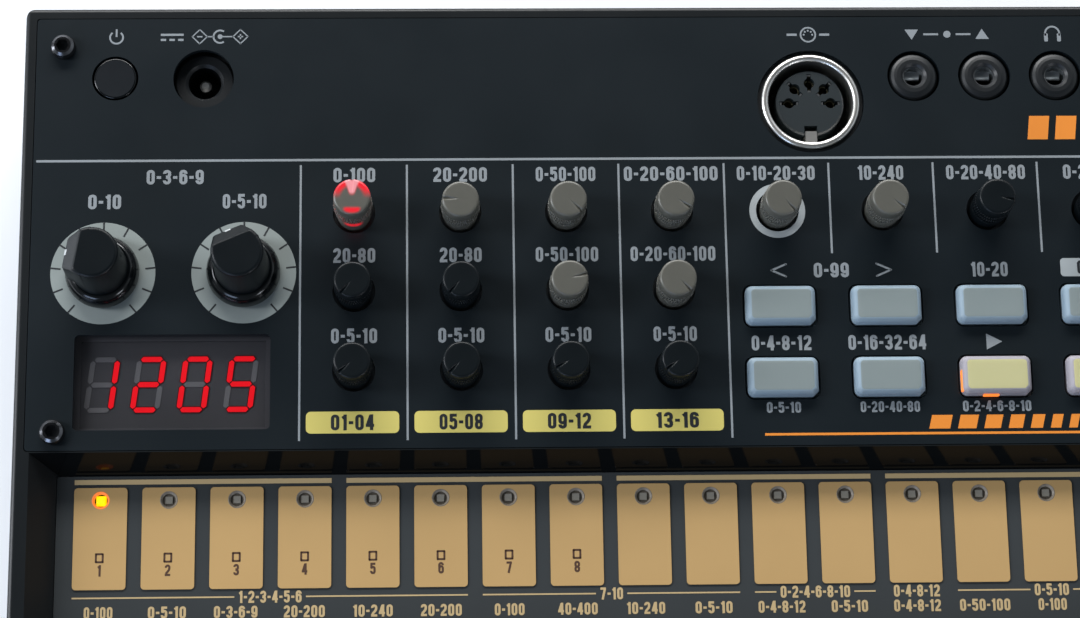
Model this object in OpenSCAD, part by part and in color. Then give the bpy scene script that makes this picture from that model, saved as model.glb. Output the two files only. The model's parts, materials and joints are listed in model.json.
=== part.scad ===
// Desktop drum machine: a panel of knobs and buttons over a well with sixteen touch pads.
// X runs to the right, Y to the rear and Z up. The origin is on the table, under the middle of the case.

/* [Case] */
// Width of the case
case_w = 193; // [190:1:205]
// Depth of the case
case_d = 115; // [112:0.5:125]
// Height of the case without its feet
case_h = 30.5; // [30.5:0.5:36]
// Height of the lower shell
base_h = 13; // [12:0.5:14]
// Radius of the upright corners
corner_r = 2; // [1.6:0.1:3]
// Radius of the upper edges
top_edge_r = 0.8; // [0.4:0.1:1.2]
// Radius of the lower edges
low_edge_r = 1.6; // [0.8:0.1:1.9]
// Thickness of the outer walls
wall_t = 2.2; // [2:0.1:2.6]
// Thickness of the lower shell's floor
floor_t = 2.2; // [1.8:0.1:2.6]
// Thickness of the deck under the panel plate
deck_t = 2; // [1.6:0.1:2.2]
// Height of the lip that keeps the shells in line
lip_h = 1.2; // [0.8:0.1:1.6]
// Clearance between the lip and the upper shell
lip_gap = 0.1; // [0.05:0.05:0.2]
// Thickness of the ribs on the floor
rib_t = 1.2; // [1:0.1:1.6]
// Height of the ribs on the floor
rib_h = 3; // [2:0.5:4]

/* [Panel plate] */
// Depth of the panel plate
plate_d = 73.35; // [73:0.05:74]
// Thickness of the panel plate
plate_t = 1; // [0.8:0.1:1.2]
// Width of the rim beside the plate
rim_w = 2; // [1.8:0.1:2.6]
// Depth of the rim behind the plate
rear_rim_d = 1.95; // [1.8:0.05:2.4]
// Gap around the plate
plate_gap = 0.12; // [0.08:0.01:0.2]
// Radius of the plate's corners
plate_r = 0.6; // [0.5:0.1:1.6]

/* [Panel screws] */
// Distance of the panel screws from the sides of the case
screw_side_in = 6.5; // [6.2:0.1:7]
// Distance of the rear panel screws from the rear of the case
screw_rear_in = 7.05; // [6.6:0.05:7.6]
// Distance of the front panel screws from the plate's front edge
screw_front_in = 2.95; // [2.9:0.05:3.4]
// Radius of the screw head
screw_head_r = 2.05; // [1.8:0.05:2.2]
// Height of the screw head
screw_head_h = 1.8; // [1.4:0.1:2.2]
// Width across flats of the socket
screw_socket_af = 1.9; // [1.5:0.1:2]
// Radius of the screw shank
screw_shank_r = 0.95; // [0.8:0.05:1.05]
// Length of the screw under its head
screw_len = 6; // [5:0.5:7]

/* [Touch well] */
// Depth of the well below the plate
well_depth = 5; // [4:0.25:5.5]
// Width of the well's rear and front slopes
well_slope_y = 3; // [2.6:0.1:3.2]
// Width of the well's side slopes
well_slope_x = 3.8; // [3.4:0.1:4]
// Width of the case's rim beside the well
well_rim_x = 2.8; // [2.6:0.1:3]
// Depth of the case's rim before the well
well_rim_front = 5; // [4.6:0.1:5.4]
// Land between the plate and the well
well_land = 0.3; // [0.2:0.1:0.5]
// How far the seam of the two upper mouldings lies behind the plate's front edge
seam_in = 1; // [0.8:0.1:1.4]
// Thickness of the rear moulding's wall along that seam
seam_wall = 1.8; // [1.4:0.1:2]
// Thickness of the well's floor
well_floor_t = 1.5; // [1.2:0.1:1.8]
// Width of the ledge under the touch panel
well_ledge = 1.2; // [0.8:0.1:1.6]
// Thickness of the touch panel
touch_t = 1; // [0.8:0.1:1.2]
// Clearance around the touch panel
touch_gap = 0.1; // [0.05:0.05:0.2]

/* [Touch pads] */
// Number of pads
pad_count = 16; // [8:1:16]
// Margin beside the row of pads
pad_side_in = 1.74; // [1.5:0.02:2]
// Gap between two pads
pad_gap = 2.42; // [2:0.02:3]
// Distance of the pads' rear edge from the well's rear slope
pad_rear_in = 2; // [1.6:0.1:2.6]
// Distance of the pads' front edge from the well's front slope
pad_front_in = 9.8; // [9:0.1:10.4]
// Thickness of a pad
pad_t = 0.2; // [0.1:0.05:0.3]
// Radius of a pad's corners
pad_r = 0.6; // [0.3:0.1:1]
// Distance of the LED holes from the pads' rear edge
led_in = 2.05; // [1.9:0.05:2.6]
// Radius of the LED holes
led_hole_r = 1.45; // [1.35:0.05:1.6]
// Width of a step LED
led_w = 1.6; // [1.4:0.1:1.8]
// Height of a step LED
led_h = 0.9; // [0.7:0.1:0.95]

/* [Knob grid] */
// Number of knob columns
col_count = 8; // [8:1:8]
// Distance of the first knob column from the left side of the case
col_first_in = 54.95; // [54:0.05:56]
// Distance of the last knob column from the right side of the case
col_last_in = 15.41; // [15:0.01:16]
// Distance of the first knob row from the rear of the case
row_rear_in = 35.86; // [35.4:0.02:36.2]
// Distance from row to row
row_pitch = 13.3; // [12.8:0.1:13.5]

/* [Small knobs] */
// Radius of a small knob
knob_r = 3; // [2.6:0.05:3.05]
// Height of a small knob above the plate
knob_h = 8.3; // [7:0.1:9]
// How much higher the first knob stands
first_lift = 1.6; // [0:0.1:2]
// Radius of the holes for the small knobs
knob_hole_r = 3.5; // [3.35:0.05:3.7]
// Width of the bevel round a small knob's top
knob_bevel = 0.35; // [0.2:0.05:0.5]
// Height of the knurled band above the plate
knurl_z = 1.2; // [0.8:0.1:2]
// Length of the knurled band
knurl_h = 2.8; // [2:0.1:3.5]
// Depth of the knurl
knurl_d = 0.16; // [0.1:0.02:0.2]
// Number of teeth in the knurl
knurl_n = 28; // [20:1:32]
// Width of the pointer notch at the rim
notch_w = 0.9; // [0.7:0.1:1.6]
// Depth of the pointer notch
notch_d = 0.7; // [0.4:0.1:1]
// Radius of the shaft in the potentiometer
shaft_r = 1.5; // [1.3:0.05:1.7]
// Radial clearance of the shaft
shaft_gap = 0.05; // [0.02:0.01:0.08]

/* [Large knobs] */
// Distance of the left large knob from the left side of the case
big_side_in = 13.93; // [13.5:0.01:14.5]
// Distance between the two large knobs
big_pitch = 23; // [22.5:0.1:24]
// Distance of the large knobs from the rear of the case
big_rear_in = 45.87; // [45.5:0.01:46.2]
// Radius of the skirt
skirt_r = 6.05; // [5.8:0.05:6.3]
// Radius of the grip at its foot
grip_r = 4.5; // [4.3:0.05:4.7]
// Radius of the grip at its top
grip_top_r = 4.15; // [3.9:0.05:4.25]
// Height of a large knob above the plate
big_h = 14; // [13:0.1:15]
// Height of the skirt
skirt_h = 4.6; // [4:0.1:5.2]
// Gap between the skirt and the plate
skirt_gap = 0.5; // [0.3:0.1:0.8]
// Reach of the pointer nose at its foot
nose_foot = 5.3; // [5.1:0.05:5.4]
// Reach of the pointer nose under its facet
nose_mid = 4.8; // [4.6:0.05:5]
// Width of the pointer nose at its end
nose_w = 4.8; // [4.2:0.1:5.4]
// Distance of the facet's upper edge from the knob's axis
facet_in = 2.45; // [2.2:0.05:2.8]
// Height of the facet
facet_h = 3.6; // [3:0.1:4.2]
// Radius of the large knobs' shafts
big_shaft_r = 2; // [1.8:0.05:2.2]
// Depth of a large knob's bore above the plate
big_bore_z = 9.5; // [8.5:0.5:10]
// Radius of the bushing round a large shaft
bushing_r = 3; // [2.8:0.05:3.2]

/* [Buttons] */
// How far the first button column lies left of the fifth knob column
btn_shift = 0.13; // [0:0.01:0.3]
// Distance of the last button column from the right side of the case
btn_last_in = 15.75; // [15.4:0.01:16]
// Distance of the first button row from the rear of the case
btn_rear_in = 52.1; // [51.8:0.05:52.5]
// Distance between the two button rows
btn_row_pitch = 12; // [11.6:0.1:12.2]
// Width of a button
btn_w = 11.5; // [10.5:0.1:12]
// Depth of a button
btn_d = 6.5; // [6.1:0.1:6.9]
// Height of a button above the plate
btn_h = 1.9; // [1.4:0.1:2.2]
// Radius of a button's corners
btn_r = 1.1; // [0.8:0.1:1.4]
// Radius of a button's upper edges
btn_edge_r = 1.1; // [0.7:0.1:1.2]
// Size of the bevelled corner at the front right of a button
btn_cut = 0.9; // [0.6:0.1:1.2]
// Gap around a button
btn_gap = 0.4; // [0.3:0.05:0.5]
// Width of the flange that holds a button under the deck
btn_flange = 0.8; // [0.6:0.1:1]
// Thickness of that flange
btn_flange_t = 1; // [0.8:0.1:1.2]
// Travel of a button
btn_travel = 0.8; // [0.5:0.1:0.8]

/* [Power button] */
// Distance of the power button from the left side of the case
power_side_in = 15.16; // [14.8:0.02:15.6]
// Distance of the power button from the rear of the case
power_rear_in = 12.38; // [12:0.02:12.8]
// Radius of the power button
power_r = 3.55; // [3.2:0.05:3.8]
// Gap around the power button
power_gap = 0.3; // [0.25:0.05:0.4]
// Travel of the power button
power_travel = 0.8; // [0.5:0.1:0.8]

/* [Sockets] */
// Distance of the socket row's centre line from the rear of the case
jack_rear_in = 12.46; // [12.2:0.02:12.8]
// Distance of the DC inlet from the left side of the case
dc_side_in = 29.84; // [29.4:0.02:30.4]
// Radius of the plate's hole for the DC inlet
dc_hole_r = 5.04; // [4.8:0.02:5.3]
// Radius of the DC inlet's nose
dc_nose_r = 4.7; // [4.5:0.05:4.75]
// Depth of the DC inlet's nose below the plate
dc_sunk = 2.2; // [1.6:0.1:2.4]
// Radius of the DC inlet's bore
dc_bore_r = 2.75; // [2.5:0.05:2.9]
// Depth of the DC inlet's bore
dc_bore_d = 9; // [8:0.5:9.5]
// Radius of the DC inlet's pin
dc_pin_r = 1; // [0.8:0.05:1.1]
// Depth of the pin's tip below the inlet's nose
dc_pin_sunk = 2; // [1.5:0.1:2.5]
// Distance of the DIN socket from the right side of the case
din_side_in = 61.66; // [61.3:0.02:62]
// Distance of the DIN socket from the rear of the case
din_rear_in = 16.86; // [16.6:0.02:17.2]
// Radius of the plate's hole for the DIN socket
din_hole_r = 8.95; // [8.75:0.05:9.1]
// Outer radius of the DIN ring
din_r = 7.8; // [7.7:0.02:7.9]
// Wall of the DIN ring
din_wall = 0.7; // [0.6:0.05:0.8]
// Height of the DIN ring above the plate
din_proud = 0.2; // [0:0.1:0.5]
// Radius of the DIN insulator
din_core_r = 5.7; // [5.5:0.05:5.9]
// Depth of the insulator's face below the ring
din_core_sunk = 1.2; // [0.8:0.1:1.6]
// Radius of the circle of contacts
din_pin_circle = 3.5; // [3.4:0.05:3.6]
// Radius of a contact hole
din_pin_r = 0.9; // [0.8:0.05:1]
// Width of the keyway in the insulator
din_key_w = 2.2; // [2:0.1:2.4]
// Distance of the first 3.5 mm jack from the right side of the case
jack_side_in = 44.12; // [43.8:0.02:44.4]
// Distance from jack to jack
jack_pitch = 11.96; // [11.8:0.02:12.1]
// Radius of the plate's holes for the jacks
jack_hole_r = 4.43; // [4.3:0.01:4.6]
// Radius of a jack's nose
jack_nose_r = 4.15; // [4:0.05:4.2]
// Height of a jack's nose above the plate
jack_proud = 0.1; // [0:0.05:0.4]
// Radius of a jack's bore
jack_bore_r = 1.78; // [1.76:0.01:1.82]
// Depth of a jack's bore
jack_bore_d = 15; // [14:0.5:15.3]
// Depth of the lead-in at a jack's mouth
jack_lead = 0.35; // [0.2:0.05:0.5]

/* [Display] */
// Distance of the display from the left side of the case
disp_side_in = 25.5; // [25:0.1:26]
// Distance of the display from the plate's front edge
disp_front_in = 11.2; // [11:0.1:12]
// Width of the display opening
disp_w = 31.8; // [30:0.1:33]
// Depth of the display opening
disp_d = 15.8; // [15:0.1:16.4]
// Margin of the window under the plate
disp_margin = 1.4; // [1:0.1:1.6]
// Thickness of the window
window_t = 1; // [0.8:0.1:1.1]

/* [Inside] */
// Thickness of the circuit boards
board_t = 1.6; // [1.2:0.1:1.6]
// Height of the small potentiometers
pot_h = 6.6; // [6:0.1:6.8]
// Width of the small potentiometers
pot_w = 9.8; // [9:0.1:10]
// Width of the large potentiometers
big_pot_w = 11.4; // [10.5:0.1:12]
// Thickness of a potentiometer's floor under its shaft
pot_floor = 1; // [0.8:0.1:1.4]
// Gap between the potentiometers and the deck
pot_gap = 0.3; // [0.2:0.1:0.5]
// Height of the jack board's top above the underside of the case
jack_board_z = 15.2; // [15:0.1:15.4]
// Rear edge of the main board from the rear of the case
main_rear_in = 26.5; // [26.2:0.1:27]
// Depth of the jack board
jack_board_d = 19; // [18.4:0.1:19.4]
// Gap between boards and the case walls
board_gap = 2; // [1.8:0.1:2.6]
// Radius of the posts under the boards
post_r = 2; // [1.8:0.1:2.4]
// Distance of the main board's posts from the sides of the case
post_side_in = 7; // [6.6:0.1:7.4]
// Distance of the jack board's outer posts from the sides of the case
jack_post_in = 14.5; // [14:0.1:14.6]
// Distance of the jack board's inner posts from the sides of the case
jack_mid_post_in = 80; // [76:1:84]
// Distance of the jack board's posts from its front edge
jack_post_edge = 2.6; // [2.4:0.1:2.8]
// Radius of the board screws' heads
board_head_r = 1.7; // [1.5:0.1:2]
// Height of the board screws' heads
board_head_h = 1.2; // [1:0.1:1.4]
// Radius of the board screws' shanks
board_shank_r = 0.8; // [0.7:0.05:0.9]
// Width of the flat cable
flex_w = 22; // [16:1:26]
// Place of the flat cable from the middle
flex_x = -20; // [-30:1:30]

/* [Batteries] */
// Radius of a cell
cell_r = 7.1; // [6.9:0.05:7.2]
// Length of a cell
cell_len = 50.2; // [49:0.1:50.5]
// Radius of a cell's nub
cell_nub_r = 2.7; // [2.4:0.1:3]
// Number of cells
cell_n = 6; // [4:1:6]
// Space between cells
cell_gap = 0.4; // [0.2:0.1:0.6]
// Place of the cells' middle across the case
cells_x = 15; // [13:0.5:17]
// Distance of the cells' middle from the rear of the case
cells_rear_in = 57.5; // [56:0.5:59]
// Room for the springs at each end
spring_room = 1.6; // [1.2:0.1:1.8]
// Wall of the battery well
cell_wall = 1.4; // [1.2:0.1:1.6]
// Width of the frame round the battery door
frame_w = 3; // [2.5:0.1:3.5]
// Thickness of the saddle ribs between the cells
saddle_t = 1.6; // [1.2:0.1:2]
// Thickness of the battery door
door_t = 1.8; // [1.6:0.1:2]
// Gap around the battery door
door_gap = 0.2; // [0.15:0.05:0.3]
// Width of the ledge that the door rests on
door_ledge = 1.2; // [0.8:0.1:1.6]
// Thickness of that ledge
door_ledge_t = 1; // [0.8:0.1:1.2]
// Radius of the door's pivot pins
door_pin_r = 0.6; // [0.5:0.05:0.65]
// Length of the door's pivot pins
door_pin_len = 1.2; // [1:0.1:1.4]
// Width of the door's latch tongue
latch_w = 12; // [10:0.5:14]

/* [Speaker] */
// Distance of the speaker from the left side of the case
speaker_side_in = 30.5; // [29:0.5:32]
// Distance of the speaker from the rear of the case
speaker_rear_in = 63.5; // [62:0.5:65]
// Radius of the speaker
speaker_r = 18; // [16:0.5:18.5]
// Height of the speaker
speaker_h = 9; // [8:0.5:10]
// Number of sound slots
slot_n = 9; // [5:2:11]
// Width of a sound slot
slot_w = 1.5; // [1.2:0.1:1.8]
// Distance from slot to slot
slot_pitch = 3.2; // [3:0.1:3.4]

/* [Feet and case screws] */
// Height of the feet below the case
foot_drop = 1.5; // [1.4:0.1:2.4]
// Radius of a foot
foot_r = 5; // [4:0.5:6]
// Distance of the feet from the sides of the case
foot_side_in = 16; // [15.5:0.5:18]
// Distance of the feet from the front and the rear
foot_end_in = 10.5; // [10:0.5:12]
// Depth of the seats for the feet
foot_seat = 0.5; // [0.3:0.1:0.8]
// Distance of the case screws from the sides of the case
case_screw_in = 6.4; // [6:0.1:6.6]
// Distance of the rear case screws from the rear
case_screw_rear_in = 21.5; // [21:0.5:22]
// Distance of the front case screws from the front
case_screw_front_in = 9.5; // [9:0.5:10]
// Radius of the screw bosses
boss_r = 2.8; // [2.6:0.1:3]
// Radius of the case screws' heads
case_head_r = 2.2; // [2:0.1:2.3]
// Height of the case screws' heads
case_head_h = 1.6; // [1.4:0.1:2]
// Depth of the pockets for those heads
case_head_pocket = 3.4; // [3:0.1:4]
// Radius of the case screws' shanks
case_shank_r = 1.25; // [1.1:0.05:1.3]
// How far the case screws reach into the upper shell
case_screw_bite = 6; // [5:0.5:7]

/* [Hidden] */
$fn = 48;
// a cut runs this far past what it cuts, and joined shapes reach this far into each other
over = 1;
eps = 0.02;
// clearance of a piece in its seat, and the wider one of pieces that only pass each other
fit_gap = 0.1;
pass_gap = 0.3;
// radius of the corners inside the case
inner_r = 0.6;

// heights
z_base = foot_drop;
z_split = z_base + base_h;
z_plate = z_base + case_h;
z_deck = z_plate - plate_t;
z_deck_under = z_deck - deck_t;
z_well = z_plate - well_depth;
z_touch_under = z_well - touch_t;
z_well_under = z_touch_under - well_floor_t;
z_floor = z_base + floor_t;
z_board = z_deck_under - pot_gap - pot_h;
z_jack_board = z_base + jack_board_z;

// edges and centre lines of the case
x_right = case_w / 2;
y_rear = case_d / 2;
inner_w = case_w - 2 * wall_t;
inner_d = case_d - 2 * wall_t;

// panel plate
plate_w = case_w - 2 * rim_w;
plate_y1 = y_rear - rear_rim_d;
plate_y0 = plate_y1 - plate_d;
plate_cy = (plate_y0 + plate_y1) / 2;

// touch well and pads
well_y1 = plate_y0 - well_land;
well_y0 = -y_rear + well_rim_front;
well_w = case_w - 2 * well_rim_x;
touch_w = well_w - 2 * well_slope_x;
touch_y1 = well_y1 - well_slope_y;
touch_y0 = well_y0 + well_slope_y;
touch_d = touch_y1 - touch_y0;
touch_cy = (touch_y0 + touch_y1) / 2;
touch_r = 0.4;
pad_pitch = (touch_w - 2 * pad_side_in) / pad_count;
pad_w = pad_pitch - pad_gap;
pad_y1 = touch_y1 - pad_rear_in;
pad_d = pad_y1 - touch_y0 - pad_front_in;
led_y = pad_y1 - led_in;
// the cutter of the well goes on above the plate along the same slopes
well_over = 0.5;
well_out_x = well_over * well_slope_x / well_depth;
well_out_y = well_over * well_slope_y / well_depth;
// the upper case's two mouldings meet here, and the space under the deck starts behind the rear one's wall
seam_y = plate_y0 + seam_in;
cavity_y = seam_y + seam_wall;
// the deck's openings are wider than the plate's by this much all round
deck_relief = 0.5;

// knobs: column, row and the angle of the pointer, clockwise from the rear
col_x = -x_right + col_first_in;
col_pitch = (case_w - col_first_in - col_last_in) / (col_count - 1);
row_y = y_rear - row_rear_in;
KNOBS = [
    [0, 0, 0], [0, 1, -140], [0, 2, -132],
    [1, 0, -85], [1, 1, -140], [1, 2, -136],
    [2, 0, 135], [2, 1, 75], [2, 2, -120],
    [3, 0, 125], [3, 1, 138], [3, 2, -128],
    [4, 0, 140], [5, 0, 130], [6, 0, 100], [7, 0, 60]
];
BIG_ANGLES = [-80, -23];
big_x = -x_right + big_side_in;
big_y = y_rear - big_rear_in;
shaft_foot_z = z_board + pot_floor + pass_gap;

// buttons and their switches
btn_x = col_x + 4 * col_pitch - btn_shift;
btn_pitch = (x_right - btn_last_in - btn_x) / 3;
btn_y = y_rear - btn_rear_in;
btn_foot_z = z_deck_under - btn_flange_t - 0.05;
tact_w = 6;
tact_h = 3.4;
tact_plunger_r = 1.6;
tact_plunger_h = 0.6;
stem_r = 1.4;
power_x = -x_right + power_side_in;
power_y = y_rear - power_rear_in;
power_flange = 1;
power_flange_t = 2;
power_foot_z = z_deck_under - power_flange_t - 0.05;
power_switch_w = 7;
power_switch_h = 7;
led_block = [1.6, 0.8, 0.7];

// sockets
jack_y = y_rear - jack_rear_in;
jack_x = x_right - jack_side_in;
dc_x = -x_right + dc_side_in;
din_x = x_right - din_side_in;
din_y = y_rear - din_rear_in;
housing_top = z_deck_under - pass_gap;
dc_body = [11, 12];
din_body = [20, 18];
din_floor = 1.5;
din_slot_l = 3.2;
din_slot_w = 0.7;
din_slot_d = 5;
din_tab_w = 1.4;
din_tab_d = 1.1;
jack_body = [10, 12];

// display, screws and feet
disp_x = -x_right + disp_side_in;
disp_y = plate_y0 + disp_front_in;
screw_x = x_right - screw_side_in;
screw_ys = [y_rear - screw_rear_in, plate_y0 + screw_front_in];
case_screw_x = x_right - case_screw_in;
case_screw_ys = [y_rear - case_screw_rear_in, -y_rear + case_screw_front_in];
case_screw_len = base_h - case_head_pocket + case_screw_bite;
foot_x = x_right - foot_side_in;
foot_ys = [y_rear - foot_end_in, -y_rear + foot_end_in];

// boards and posts
main_board_w = inner_w - 2 * board_gap;
main_y1 = y_rear - main_rear_in;
main_y0 = plate_y0 + 1.5;
jack_board_w = 2 * (case_screw_x - boss_r - 2 * pass_gap);
jack_y1 = y_rear - wall_t - board_gap;
post_x = x_right - post_side_in;
post_ys = [main_y1 - 4, plate_y0 + 5];
jack_post_xs = [x_right - jack_post_in, x_right - jack_mid_post_in];
jack_post_y = jack_y1 - jack_board_d + jack_post_edge;
board_screw_len = 5;
flex_t = 0.3;
flex_plug = [flex_w + 2, 3, 1.8];

// battery well and its door
cells_y = y_rear - cells_rear_in;
cells_w = cell_n * 2 * cell_r + (cell_n + 1) * cell_gap;
cells_d = cell_len + 2 * spring_room;
z_ledge = z_base + door_t + door_gap / 2;
z_cell_floor = z_ledge + door_ledge_t;
z_cell = z_cell_floor + cell_r - 0.6;
z_well_roof = z_cell + cell_r + cell_gap;
contact_t = 0.3;
door_w = cells_w + 2 * door_ledge - 2 * door_gap;
door_d = cells_d + 2 * door_ledge - 2 * door_gap;
door_pivot_r = door_t / 2;
door_axis_y = door_d / 2 - door_pivot_r;
door_axis_z = z_base + door_pivot_r;
pin_play = 0.08;

// speaker
speaker_x = -x_right + speaker_side_in;
speaker_y = y_rear - speaker_rear_in;
speaker_lip = 2.5;
speaker_wall = 1.4;

SMOKE = [0.42, 0.41, 0.37];
BLACK = [0.1, 0.11, 0.12];
SILICONE = [0.55, 0.59, 0.61];
CREAM = [0.79, 0.79, 0.57];
SHELL = [0.12, 0.13, 0.14];
MOULDED = [0.08, 0.08, 0.09];
STEEL = [0.35, 0.36, 0.38];
BOARD = [0.05, 0.3, 0.15];
SPRING = [0.75, 0.75, 0.72];

// ---------- shared shapes ----------

// A slab with round upright corners, its middle at the origin and its foot at z0
module slab(w, d, z0, z1, r) {
    translate([-w / 2 + r, -d / 2, z0]) cube([w - 2 * r, d, z1 - z0]);
    translate([-w / 2, -d / 2 + r, z0]) cube([w, d - 2 * r, z1 - z0]);
    for (x = [-1, 1], y = [-1, 1])
        translate([x * (w / 2 - r), y * (d / 2 - r), z0]) cylinder(h = z1 - z0, r = r);
}

// The outline of a slab seen from one side, with its upper or lower corners rounded
module side_outline(len, z0, z1, r_low, r_top) {
    translate([-len / 2, z0 + r_low]) square([len, z1 - z0 - r_low - r_top]);
    if (r_low > 0) {
        translate([-len / 2 + r_low, z0]) square([len - 2 * r_low, r_low + eps]);
        for (s = [-1, 1]) translate([s * (len / 2 - r_low), z0 + r_low]) circle(r = r_low);
    }
    if (r_top > 0) {
        translate([-len / 2 + r_top, z1 - r_top - eps]) square([len - 2 * r_top, r_top + eps]);
        for (s = [-1, 1]) translate([s * (len / 2 - r_top), z1 - r_top]) circle(r = r_top);
    }
}

// A moulded block: round upright corners, with its long edges rounded along both directions
module moulded_block(w, d, z0, z1, r, r_low, r_top) {
    intersection() {
        slab(w, d, z0, z1, r);
        rotate([90, 0, 0]) linear_extrude(height = d + 2 * over, center = true)
            side_outline(w, z0, z1, r_low, r_top);
        rotate([90, 0, 90]) linear_extrude(height = w + 2 * over, center = true)
            side_outline(d, z0, z1, r_low, r_top);
    }
}

module post(z0, z1, r) translate([0, 0, z0]) cylinder(h = z1 - z0, r = r);

module post_at(x, y, z0, z1, r) translate([x, y, 0]) post(z0, z1, r);

module slab_at(x, y, w, d, z0, z1, r) translate([x, y, 0]) slab(w, d, z0, z1, r);

// Places of the panel's parts and of what holds the case together
module at_small_knobs()
    for (k = KNOBS) translate([col_x + k[0] * col_pitch, row_y - k[1] * row_pitch, 0]) children();

module at_big_knobs()
    for (i = [0, 1]) translate([big_x + i * big_pitch, big_y, 0]) children();

module at_buttons()
    for (i = [0 : 3], j = [0, 1]) translate([btn_x + i * btn_pitch, btn_y - j * btn_row_pitch, 0]) children();

module at_jacks() for (i = [0 : 2]) translate([jack_x + i * jack_pitch, jack_y, 0]) children();

module at_pads()
    for (i = [0 : pad_count - 1]) translate([(i - (pad_count - 1) / 2) * pad_pitch, 0, 0]) children();

module at_contacts()
    for (i = [0 : 4]) rotate([0, 0, i * 45]) translate([din_pin_circle, 0, 0]) children();

module at_corners(x, ys)
    for (s = [-1, 1], y = ys) translate([s * x, y, 0]) children();

module at_jack_posts()
    for (s = [-1, 1], x = jack_post_xs) translate([s * x, jack_post_y, 0]) children();

// Every opening that the panel's parts pass through, each wider by grow
module panel_openings(z0, z1, grow) {
    at_small_knobs() post(z0, z1, knob_hole_r + grow);
    at_big_knobs() post(z0, z1, bushing_r + pass_gap + grow);
    at_buttons() slab(btn_w + 2 * btn_gap + 2 * grow, btn_d + 2 * btn_gap + 2 * grow, z0, z1,
                      btn_r + btn_gap + grow);
    post_at(power_x, power_y, z0, z1, power_r + power_gap + grow);
    post_at(dc_x, jack_y, z0, z1, dc_hole_r + grow);
    post_at(din_x, din_y, z0, z1, din_hole_r + grow);
    at_jacks() post(z0, z1, jack_hole_r + grow);
}

// ---------- case ----------

module bottom_case() {
    color(SHELL) difference() {
        union() {
            difference() {
                moulded_block(case_w, case_d, z_base, z_split, corner_r, low_edge_r, 0);
                slab(inner_w, inner_d, z_floor, z_split + over, inner_r);
            }
            shell_lip();
            floor_ribs();
            // battery well with its thick door frame
            translate([cells_x, cells_y, 0]) {
                slab(door_w + 2 * (door_gap + frame_w), door_d + 2 * (door_gap + frame_w), z_base + floor_t / 5,
                     z_cell_floor, over);
                slab(cells_w + 2 * cell_wall, cells_d + 2 * cell_wall, z_floor, z_well_roof + cell_wall, over);
            }
            at_corners(case_screw_x, case_screw_ys) post(z_floor - eps, z_split, boss_r);
            at_corners(post_x, post_ys) post(z_floor - eps, z_board - board_t, post_r);
            at_jack_posts() post(z_floor - eps, z_jack_board - board_t, post_r);
            // ring that holds the speaker
            translate([speaker_x, speaker_y, 0]) difference() {
                post(z_floor - eps, z_floor + 2.4, speaker_r + speaker_wall);
                post(z_floor - over, z_floor + rib_h, speaker_r + fit_gap);
            }
        }
        battery_recess();
        sound_slots();
        at_corners(foot_x, foot_ys) post(z_base - over, z_base + foot_seat, foot_r + fit_gap);
        // head pockets and shank holes of the case screws
        at_corners(case_screw_x, case_screw_ys) {
            post(z_base - over, z_base + case_head_pocket, case_head_r + fit_gap);
            post(z_base, z_split + over, case_shank_r + fit_gap);
        }
        // pilot holes of the board screws
        at_corners(post_x, post_ys)
            post(z_board - board_t - board_screw_len, z_board, board_shank_r + fit_gap / 2);
        at_jack_posts()
            post(z_jack_board - board_t - board_screw_len, z_jack_board, board_shank_r + fit_gap / 2);
    }
}

// Lip that enters the upper shell
module shell_lip() difference() {
    slab(case_w - wall_t - 2 * lip_gap, case_d - wall_t - 2 * lip_gap, z_split - over, z_split + lip_h, over);
    slab(inner_w, inner_d, z_split - 2 * over, z_split + lip_h + over, inner_r);
}

// Ribs that stiffen the floor in front of and behind the battery well
module floor_ribs() {
    well_half = cells_d / 2 + cell_wall;
    for (i = [0 : cell_n]) translate([cells_x + (i - cell_n / 2) * (2 * cell_r + cell_gap) - rib_t / 2, 0, 0]) {
        translate([0, -inner_d / 2 - eps, z_floor - eps])
            cube([rib_t, inner_d / 2 + cells_y - well_half + 2 * eps, rib_h]);
        translate([0, cells_y + well_half - eps, z_floor - eps])
            cube([rib_t, inner_d / 2 - cells_y - well_half + 2 * eps, rib_h]);
    }
}

// Door recess, cell shaft with its saddle ribs, pivot holes and finger notch
module battery_recess() translate([cells_x, cells_y, 0]) {
    slab(door_w + 2 * door_gap, door_d + 2 * door_gap, z_base - over, z_ledge, inner_r);
    difference() {
        slab(cells_w, cells_d, z_base - over, z_well_roof, inner_r);
        difference() {
            for (s = [-1, 1]) translate([-cells_w / 2 - over, s * cell_len / 4 - saddle_t / 2, z_cell + cell_r / 3])
                cube([cells_w + 2 * over, saddle_t, z_well_roof]);
            for (i = [0 : cell_n - 1]) translate([cell_x(i), 0, z_cell]) rotate([90, 0, 0])
                cylinder(h = cells_d, r = cell_r + cell_gap / 4, center = true);
        }
    }
    for (s = [-1, 1]) translate([s * (door_w / 2 + door_gap - eps), door_axis_y, door_axis_z])
        rotate([0, s * 90, 0]) cylinder(h = door_pin_len + door_gap, r = door_pin_r + pin_play);
    translate([0, -(door_d / 2 + door_gap), z_base]) rotate([0, 90, 0])
        cylinder(h = latch_w, r = rib_t, center = true);
}

module sound_slots() translate([speaker_x, speaker_y, 0]) for (i = [0 : slot_n - 1]) {
    x = (i - (slot_n - 1) / 2) * slot_pitch;
    len = 2 * sqrt(pow(speaker_r - speaker_lip, 2) - x * x);
    translate([x, 0, 0]) slab(slot_w, len, z_base - over, z_floor + over, slot_w / 2 - eps);
}

// The upper case is two mouldings: the deck's and, in front of the seam, the one with the touch well
module top_case() color(SHELL) intersection() {
    upper_shell();
    translate([0, seam_y + case_d, 0]) cube([2 * case_w, 2 * case_d, 4 * case_h], center = true);
}

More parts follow.
